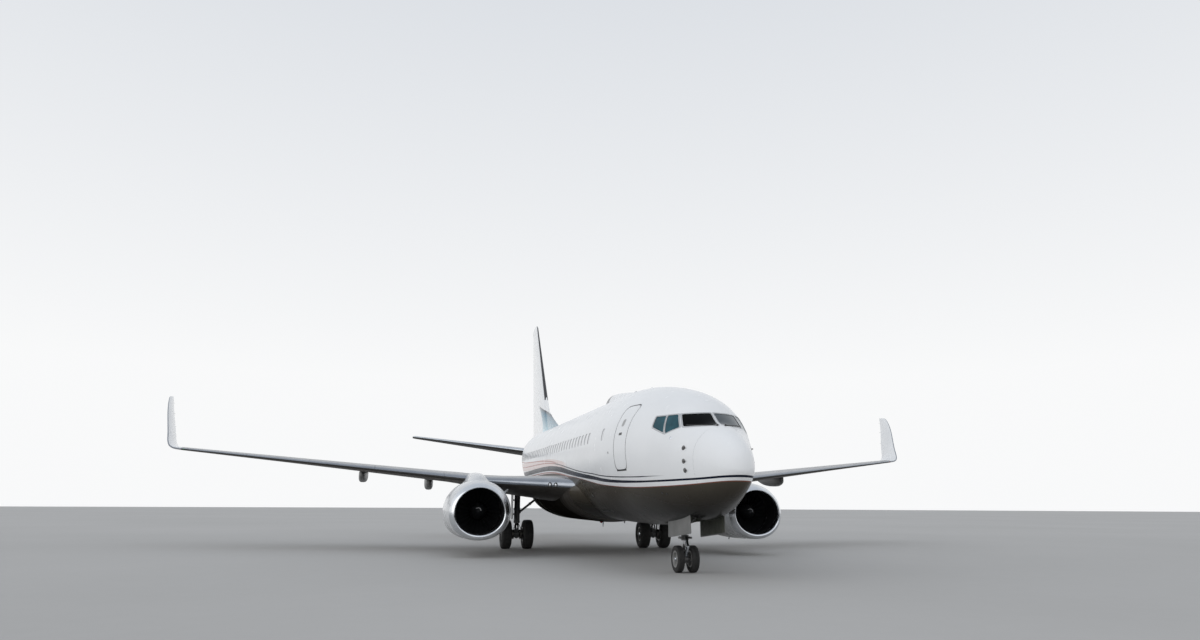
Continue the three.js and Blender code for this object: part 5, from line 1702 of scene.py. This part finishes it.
def build_wicks():
    """Thin static wicks on the trailing edges of the fixed surfaces."""
    places = []
    for side, _ in SIDES:
        for height in (5.0, 5.6, 6.1):
            heights = WINGLET_SECTIONS[:, 1]
            x, front, chord = (np.interp(height, heights, WINGLET_SECTIONS[:, k]) for k in (0, 3, 4))
            places.append((side * x, front + chord - 0.01, height + WINGLET_RISE))
        for x in (6.85, 7.05):
            place, _ = tailplane_middle(x, 1.0)
            places.append((side * x, place[1] - 0.01, place[2]))
    places += [fin_middle(height, 1.0)[0] for height in (12.3, 12.42)]
    wicks = [rod(np.subtract(place, (0, 0.01, 0)), np.add(place, (0, WICK_LENGTH, 0)), 0.004, sides=6)
             for place in places]
    set_up(joined("static_wicks", all_painted(hose_black, wicks)), "airframe", "dark_metal")


def build_fittings():
    build_probes()
    build_wipers()
    build_window_frames()
    build_door_fittings()
    build_antennas()
    build_lights()
    build_wicks()


# Landing gear
ALONG_X, UPWARDS = (1, 0, 0), (0, 0, 1)
# Tyre wall: share of the half width, share of the height over the rim
TYRE_WALL = [(0.88, 0.2), (0.98, 0.4), (1, 0.5), (0.985, 0.6), (0.955, 0.61), (0.92, 0.76), (0.84, 0.88)]
TREAD_EDGE = 0.7
TREAD_DROP = 0.035
GROOVE_DEPTH = 0.008
NOSE_GROOVES = (0.042, 0.014, -0.014, -0.042)
MAIN_GROOVES = (0.09, 0.03, -0.03, -0.09)
RIM_HOLES = 10
RIM_HALF_NOSE = 0.082
RIM_HALF_MAIN = 0.1775
NOSE_LEG = [
    (0, 0.064), (0, 0.086), (0.05, 0.088), (0.06, 0.08), (0.3, 0.08), (0.31, 0.09), (0.35, 0.09),
    (0.36, 0.08), (0.72, 0.08), (0.73, 0.095), (0.8, 0.095), (0.8, 0.004), (0.27, 0.004), (0.27, 0.064),
]
NOSE_COLLAR = [
    (0, 0.085), (0.01, 0.1), (0.05, 0.1), (0.06, 0.092), (0.085, 0.092), (0.095, 0.1), (0.135, 0.1),
    (0.145, 0.085),
]
NOSE_SLEEVE = [(-0.07, 0.046), (-0.07, 0.078), (-0.06, 0.085), (0.06, 0.085), (0.07, 0.078), (0.07, 0.046)]
NOSE_HOSE = ((1, 0.09, 1.72), (1.4, 0.12, 1.5), (1.2, 0.1, 1.3), (1.8, 0.08, 1.06))
NOSE_DOOR = [(2.27, 1.5), (2.23, 1.04), (4.02, 0.89), (4.02, 1.34)]
MAIN_LEG = [
    (0, 0.1), (0.012, 0.125), (0.09, 0.128), (0.1, 0.116), (0.5, 0.116), (0.51, 0.13), (0.6, 0.13),
    (0.61, 0.118), (1.2, 0.118), (1.22, 0.13), (1.4, 0.13), (1.42, 0.11),
]
MAIN_SLEEVE = [(-0.1, 0.066), (-0.1, 0.12), (-0.085, 0.13), (0.085, 0.13), (0.1, 0.12), (0.1, 0.066)]
BRAKE = [
    (0, 0.066), (0, 0.17), (0.015, 0.19), (0.035, 0.19), (0.04, 0.175), (0.055, 0.175), (0.06, 0.19),
    (0.1, 0.19), (0.112, 0.17), (0.112, 0.066),
]
BRAKE_PISTONS = 6
# Brake hose: away from the leg's middle, ahead of it, height
BRAKE_HOSE = ((0.05, 0.13, 1.9), (0.07, 0.16, 1.5), (0.05, 0.2, 1.0), (0.14, 0.19, 0.8), (0.16, 0.15, 0.68))
LEG_DOOR = ((-0.33, 2.2), (-0.33, 1.4), (-0.25, 1.15), (0.25, 1.15), (0.33, 1.4), (0.33, 2.2))


def tyre(name, centre, size, bead, grooves, groove_width):
    """Tyre about an axle along x: round shoulders, a ribbed tread and a step on each sidewall."""
    radius, width, rim_radius = size
    half, depth = width / 2, radius - rim_radius
    wall = [(bead, 0.0), (bead + 0.01, 0.07), *[(wide * half, rise) for wide, rise in TYRE_WALL]]
    outline = [(across, rim_radius + share * depth) for across, share in wall]
    edge = TREAD_EDGE * half
    tread = [edge]
    for groove in grooves:
        tread += [groove + groove_width, groove + groove_width * 0.6]
        tread += [groove - groove_width * 0.6, groove - groove_width]
    tread += [-edge]
    for k, across in enumerate(tread):
        sunk = GROOVE_DEPTH if 0 < k < len(tread) - 1 and k % 4 in (2, 3) else 0.0
        outline.append((across, radius - TREAD_DROP * depth * (across / edge) ** 2 - sunk))
    outline += [(-across, rim_radius + share * depth) for across, share in wall[::-1]]
    return paint(revolved(name, outline, centre, ALONG_X, 96), tyre_rubber)


def rim(centre, outward, half, radius, hub):
    """Dished wheel with flanges, a ring of holes and a ring of bolts, about an axle along x."""
    lip = radius + 0.012
    outline = [
        (-half, radius - 0.02), (-half, lip), (-half + 0.012, lip), (-half + 0.02, radius - 0.004),
        (half - 0.02, radius - 0.004), (half - 0.012, lip), (half, lip), (half, radius - 0.02),
        (half * 0.6, radius - 0.04), (half * 0.3, radius * 0.78), (half * 0.22, radius * 0.52),
        (half * 0.6, hub * 1.5), (half * 0.75, hub * 1.4), (half * 0.75, hub - 0.002),
        (-half * 0.7, hub - 0.002), (-half * 0.7, hub * 1.5), (-half * 0.05, radius * 0.5),
        (half * 0.05, radius * 0.78), (-half * 0.5, radius - 0.04),
    ]
    axle = (outward, 0, 0)
    wheel = revolved("rim", outline, centre, axle)
    holes, bolts = [], []
    for k in range(RIM_HOLES):
        turn = 2 * math.pi * k / RIM_HOLES
        around = np.array((0, math.cos(turn), math.sin(turn)))
        place = np.asarray(centre) + around * radius * 0.66 - (outward * half, 0, 0)
        holes.append(turned("cutter", [(0, radius * 0.09), (half * 2, radius * 0.09)], place, axle, 16))
        turn += math.pi / RIM_HOLES
        around = np.array((0, math.cos(turn), math.sin(turn)))
        face = np.asarray(centre) + around * radius * 0.8 + (outward * half * 0.33, 0, 0)
        foot, head = face - (outward * 0.01, 0, 0), face + (outward * 0.014, 0, 0)
        bolts.append(rod(foot, head, radius * 0.045, sides=6))
    cut(wheel, "DIFFERENCE", joined("cutter", holes))
    shade(wheel, 35)
    return joined("rim", [paint(wheel, rim_shade_paint), *all_painted(dark_metal, bolts)])


def hub_cap(centre, outward, radius, length):
    levels = ((0, 1), (0.6, 0.96), (0.85, 0.8), (1, 0.4))
    profile = [(length * out, radius * wide) for out, wide in levels]
    return paint(turned("hub_cap", profile, centre, (outward, 0, 0), 32, SOFT_ANGLE), bare_metal)


def link(start, end, sizes, x_low, x_high, hole):
    """Flat arm between two pins, seen from the side, with a hole through its middle."""
    arm = prism(capsule(start, end, *sizes), "side", x_low, x_high, "link")
    middle = (np.asarray(start) + end) / 2
    length = x_high - x_low + 0.1
    cutter = turned("cutter", [(0, hole), (length, hole)], (x_low - 0.05, *middle), ALONG_X, 24)
    return shade(cut(arm, "DIFFERENCE", cutter), 35)


def cross_bar(half, station, height, radius):
    """Bar along x, as far to one side as to the other."""
    return rod((-half, station, height), (half, station, height), radius)


def build_nose_leg():
    s = NOSE_GEAR_STATION
    leg = [
        revolved("leg", NOSE_LEG, (0, s, 0.98), UPWARDS, 48),
        cross_bar(0.4495, s, 1.75, 0.05),
        cross_bar(0.4495, 3.05, 1.64, 0.03),
        block((-0.1, s - 0.05, 1.15), (0.1, s + 0.03, 1.21), 0.012),
    ]
    for side, _ in SIDES:
        leg += [
            rod((side * 0.06, 3.97, 1.18), (side * 0.22, 3.05, 1.64), 0.026),
            rod((side * 0.124, 3.6, 1.365), (side * 0.132, 3.56, 1.385), 0.04),
            rod((side * 0.1, s - 0.03, 1.18), (side * 0.14, s - 0.03, 1.18), 0.03),
            rod((side * 0.09, s + 0.05, 1.07), (side * 0.09, s + 0.05, 1.5), 0.022),
        ]
    all_painted(gear_paint, leg)
    bowl = turned("lamp", [(0, 0.03), (0.05, 0.07), (0.085, 0.078)], (0, s - 0.09, 1.1), (0, -1, 0))
    lens = turned("lens", [(0, 0.07), (0.008, 0.06), (0.014, 0.03)], (0, s - 0.174, 1.1), (0, -1, 0), 32,
                  SOFT_ANGLE)
    leg += [paint(bowl, dark_metal), paint(lens, lamp_glass)]
    for x in (-0.05, 0.05):
        leg.append(paint(tube([(x * out, s - ahead, z) for out, ahead, z in NOSE_HOSE], 0.008), hose_black))
    set_up(joined("nose_leg_assembly", leg), "airframe", "gear_paint", "nose_gear_leg")


def build_nose_steering():
    s, radius = NOSE_GEAR_STATION, NOSE_TYRE[0]
    painted = [
        turned("collar", NOSE_COLLAR, (0, s, 0.81), UPWARDS, 48),
        revolved("sleeve", NOSE_SLEEVE, (0, s, radius), ALONG_X, 48),
        turned("fork", [(0, 0.062), (0.05, 0.075), (0.12, 0.065)], (0, s, 0.4), UPWARDS),
        block((-0.06, 3.95, 0.238), (0.06, 4.07, 0.283), 0.012),
        block((-0.06, 3.885, 0.298), (0.06, 3.955, 0.388), 0.015),
        rod((0, s, 0.24), (0, s, 0.27), 0.03),
    ]
    for side, _ in SIDES:
        painted.append(rod((side * 0.13, s - 0.12, 0.88), (side * 0.13, s + 0.1, 0.88), 0.03))
        painted.append(rod((side * 0.06, s, 0.88), (side * 0.14, s, 0.88), 0.022))
    piston = rod((0, s, 0.45), (0, s, 1.24), 0.055, bevel=0.05, sides=40)
    links = [
        link((3.925, 0.9), (3.79, 0.672), (0.035, 0.022), -0.03, 0.03, 0.014),
        link((3.79, 0.655), (3.93, 0.43), (0.022, 0.035), -0.03, 0.03, 0.014),
        cross_bar(0.04, 3.79, 0.664, 0.014),
    ]
    pieces = [*all_painted(gear_paint, painted), paint(piston, chrome), *all_painted(bare_metal, links)]
    set_up(joined("nose_steering_assembly", pieces), "nose_steering", "gear_paint", "nose_gear_steering")


def build_nose_wheels():
    s, radius = NOSE_GEAR_STATION, NOSE_TYRE[0]
    wheels = [paint(rod((-0.27, s, radius), (0.27, s, radius), 0.04, bevel=0.05), rim_shade_paint)]
    for side, label in SIDES:
        centre = (side * NOSE_WHEEL_X, s, radius)
        wheels.append(rim(centre, side, RIM_HALF_NOSE, NOSE_TYRE[2], 0.04))
        wheels.append(hub_cap((side * 0.262, s, radius), side, 0.05, 0.03))
        ring = tyre("nose_tyre_ring_" + label, centre, NOSE_TYRE, 0.066, NOSE_GROOVES, 0.005)
        set_up(ring, "nose_wheels", "tyre_rubber", "nose_tyre_" + label)
    set_up(joined("nose_rims_dished", wheels), "nose_wheels", "gear_paint", "nose_wheel_rims")


def build_nose_doors():
    """Hanging doors of the nose gear bay, ribbed and hinged on the inside."""
    pieces = [
        paint(prism(rounded(NOSE_DOOR, 0.05), "side", 0.434, 0.45), door_grey),
        paint(prism(rounded(grown(NOSE_DOOR, -0.03), 0.05), "side", 0.427, 0.435), primer),
    ]
    for share in (0.12, 0.37, 0.62, 0.87):
        station = 2.25 + share * 1.77
        top, bottom = 1.5 - share * 0.16 - 0.04, 1.04 - share * 0.15 + 0.03
        rib = block((0.4225, station - 0.018, bottom), (0.428, station + 0.018, top), 0.004)
        pieces.append(paint(rib, primer))
    for share in (0.15, 0.85):
        station, height = 2.25 + share * 1.77, 1.49 - share * 0.16
        hinge = rod((0.43, station - 0.06, height), (0.43, station + 0.06, height), 0.012)
        pieces.append(paint(hinge, gear_paint))
    doors = joined("doors", pieces)
    finish_pair(doors, None, "nose_door_panel", "airframe", "white_paint", "nose_gear_door")


def brakes(x, s, height):
    """Brake of each wheel on a main leg, with its pistons and hose."""
    pieces = []
    for side, _ in SIDES:
        metal = [revolved("brake", BRAKE, (x + side * 0.112, s, height), (side, 0, 0), 48)]
        for k in range(BRAKE_PISTONS):
            turn = 2 * math.pi * (k + 0.5) / BRAKE_PISTONS
            place = np.array((x + side * 0.105, s + 0.14 * math.cos(turn), height + 0.14 * math.sin(turn)))
            metal.append(rod(place, place + (side * 0.02, 0, 0), 0.024, sides=12))
        pieces += all_painted(dark_metal, metal)
        route = [(x + side * out, s - ahead, z) for out, ahead, z in BRAKE_HOSE]
        pieces.append(paint(tube(route, 0.011), hose_black))
    return pieces


def build_main_gear():
    s, x, radius = MAIN_GEAR_STATION, MAIN_GEAR_X, MAIN_TYRE[0]
    painted = [
        turned("leg", MAIN_LEG, (x, s, 1.0), UPWARDS, 48),
        revolved("sleeve", MAIN_SLEEVE, (x, s, radius), ALONG_X, 48),
        turned("fork", [(0, 0.08), (0.04, 0.11), (0.1, 0.095)], (x, s, 0.66), UPWARDS, 40),
        turned("pad", [(0, 0.035), (0.02, 0.06), (0.06, 0.06), (0.09, 0.09)], (x, s, 0.4), UPWARDS),
        rod((x, s - 0.555, 2.4), (x, s + 0.435, 2.4), 0.07),
        rod((x - 0.08, s, 1.42), (1.96, s, 2.06), 0.045),
        rod((x - 0.49, s, 1.74), (x - 0.55, s, 1.787), 0.058),
        rod((1.96, s - 0.225, 2.06), (1.96, s + 0.225, 2.06), 0.04),
        rod((x - 0.1, s - 0.07, 1.42), (x - 0.1, s + 0.07, 1.42), 0.05),
        link((s + 0.12, 1.13), (s + 0.415, 0.893), (0.05, 0.024), x - 0.045, x + 0.045, 0.022),
        link((s + 0.415, 0.877), (s + 0.13, 0.66), (0.024, 0.05), x - 0.045, x + 0.045, 0.022),
        rod((x - 0.06, s + 0.415, 0.885), (x + 0.06, s + 0.415, 0.885), 0.02),
        rod((x, s - 0.13, 1.15), (x, s - 0.13, 1.95), 0.03),
        rod((x, s, 1.9), (x + 0.19, s, 1.9), 0.032),
        rod((x, s, 1.35), (x + 0.19, s, 1.35), 0.032),
    ]
    piston = rod((x, s, 0.66), (x, s, 1.01), 0.088, bevel=0.03, sides=40)
    door = [(s + aft, height) for aft, height in LEG_DOOR]
    pieces = [
        *all_painted(gear_paint, painted), paint(piston, chrome), *brakes(x, s, radius),
        paint(prism(rounded(door, 0.05), "side", x + 0.2, x + 0.215), leg_door_grey),
        paint(prism(rounded(grown(door, -0.04), 0.05), "side", x + 0.192, x + 0.201), primer),
    ]
    assembly = joined("main_leg_assembly", pieces)
    finish_pair(assembly, None, "main_leg_assembly", "airframe", "gear_paint", "main_gear_leg")


def build_main_wheels():
    s, radius = MAIN_GEAR_STATION, MAIN_TYRE[0]
    for side, label in SIDES:
        x, body = side * MAIN_GEAR_X, "main_wheels_" + label
        axle = rod((x - 0.58, s, radius), (x + 0.58, s, radius), 0.06, bevel=0.05, sides=32)
        wheels = [paint(axle, rim_shade_paint)]
        for away, place in ((side, "outer"), (-side, "inner")):
            wheels.append(rim((x + away * MAIN_RIM_X, s, radius), away, RIM_HALF_MAIN, MAIN_TYRE[2], 0.06))
            wheels.append(hub_cap((x + away * 0.56, s, radius), away, 0.085, 0.04))
            name, centre = "main_tyre_" + place + "_" + label, (x + away * MAIN_WHEEL_X, s, radius)
            ring = tyre(name + "_ring", centre, MAIN_TYRE, 0.135, MAIN_GROOVES, 0.009)
            set_up(ring, body, "tyre_rubber", name)
        set_up(joined("main_rims_dished_" + label, wheels), body, "gear_paint", "main_wheel_rims_" + label)


# Floor, light and camera
FLOOR_RADIUS = 600
HORIZON, ZENITH = (0.945, 0.95, 0.955), (0.6, 0.64, 0.7)
# Lights: name, the way towards them, strength
SUNS = (("key", (0.4, -1.0, 0.45), 0.28), ("side", (-1.0, -0.3, 0.35), 0.8))
SUN_SPREAD = 1.3
CAMERA_PLACE = (-7.058, -33.710, 1.673)
CAMERA_YAW = 12.79
CAMERA_PITCH = 12.98
CAMERA_ROLL = 0.26
CAMERA_LENS = 24.24
CAMERA_SENSOR = 36.0
CAMERA_FAR = 2000.0


def build_stage():
    scene = bpy.context.scene
    scene.view_settings.view_transform = "Standard"
    floor = turned("floor", [(0, FLOOR_RADIUS), (0.2, FLOOR_RADIUS)], (0, 0, -0.2), UPWARDS, 96)
    paint(floor, surface("pale_floor", (0.45, 0.445, 0.435), (0.42, 0.415, 0.405), 0.9, patch=0.05, grain=2.0,
                         Specular_IOR_Level=0.2))
    world = bpy.data.worlds.new("pale_world")
    scene.world = world
    world.use_nodes = True
    tree = world.node_tree
    backdrop = tree.nodes["Background"]
    rise = parts_of(tree.nodes.new("ShaderNodeTexCoord").outputs["Generated"])[2]
    wire(backdrop, Color=blended(between(rise, 0.15, 0.8), HORIZON, ZENITH))
    backdrop.inputs["Strength"].default_value = 1.0
    for name, source, strength in SUNS:
        light = bpy.data.lights.new(name, "SUN")
        light.angle = SUN_SPREAD
        light.energy = strength
        lamp = bpy.data.objects.new(name, light)
        lamp.rotation_euler = Vector(source).to_track_quat("Z", "Y").to_euler()
        scene.collection.objects.link(lamp)


def build_camera():
    yaw, pitch, roll = (math.radians(v) for v in (CAMERA_YAW, CAMERA_PITCH, CAMERA_ROLL))
    forward = Vector((math.sin(yaw) * math.cos(pitch), math.cos(yaw) * math.cos(pitch), math.sin(pitch)))
    right = Vector((math.cos(yaw), -math.sin(yaw), 0))
    up = right.cross(forward)
    tilted_right = right * math.cos(roll) + up * math.sin(roll)
    tilted_up = up * math.cos(roll) - right * math.sin(roll)
    camera = bpy.data.objects.new("camera", bpy.data.cameras.new("camera"))
    camera.data.lens = CAMERA_LENS
    camera.data.sensor_width = CAMERA_SENSOR
    camera.data.clip_end = CAMERA_FAR
    turn = Matrix((tilted_right, tilted_up, -forward)).transposed()
    camera.matrix_world = Matrix.Translation(CAMERA_PLACE) @ turn.to_4x4()
    bpy.context.scene.collection.objects.link(camera)
    bpy.context.scene.camera = camera


build_camera()
build_body()
build_doors()
build_cockpit()
build_fairing()
build_wings()
build_winglets()
build_fin()
build_tailplane()
for engine_side, engine_label in SIDES:
    build_engine(engine_side, engine_label)
build_pylons()
build_fittings()
build_nose_leg()
build_nose_steering()
build_nose_wheels()
build_nose_doors()
build_main_gear()
build_main_wheels()
drop(whole_body)
build_stage()
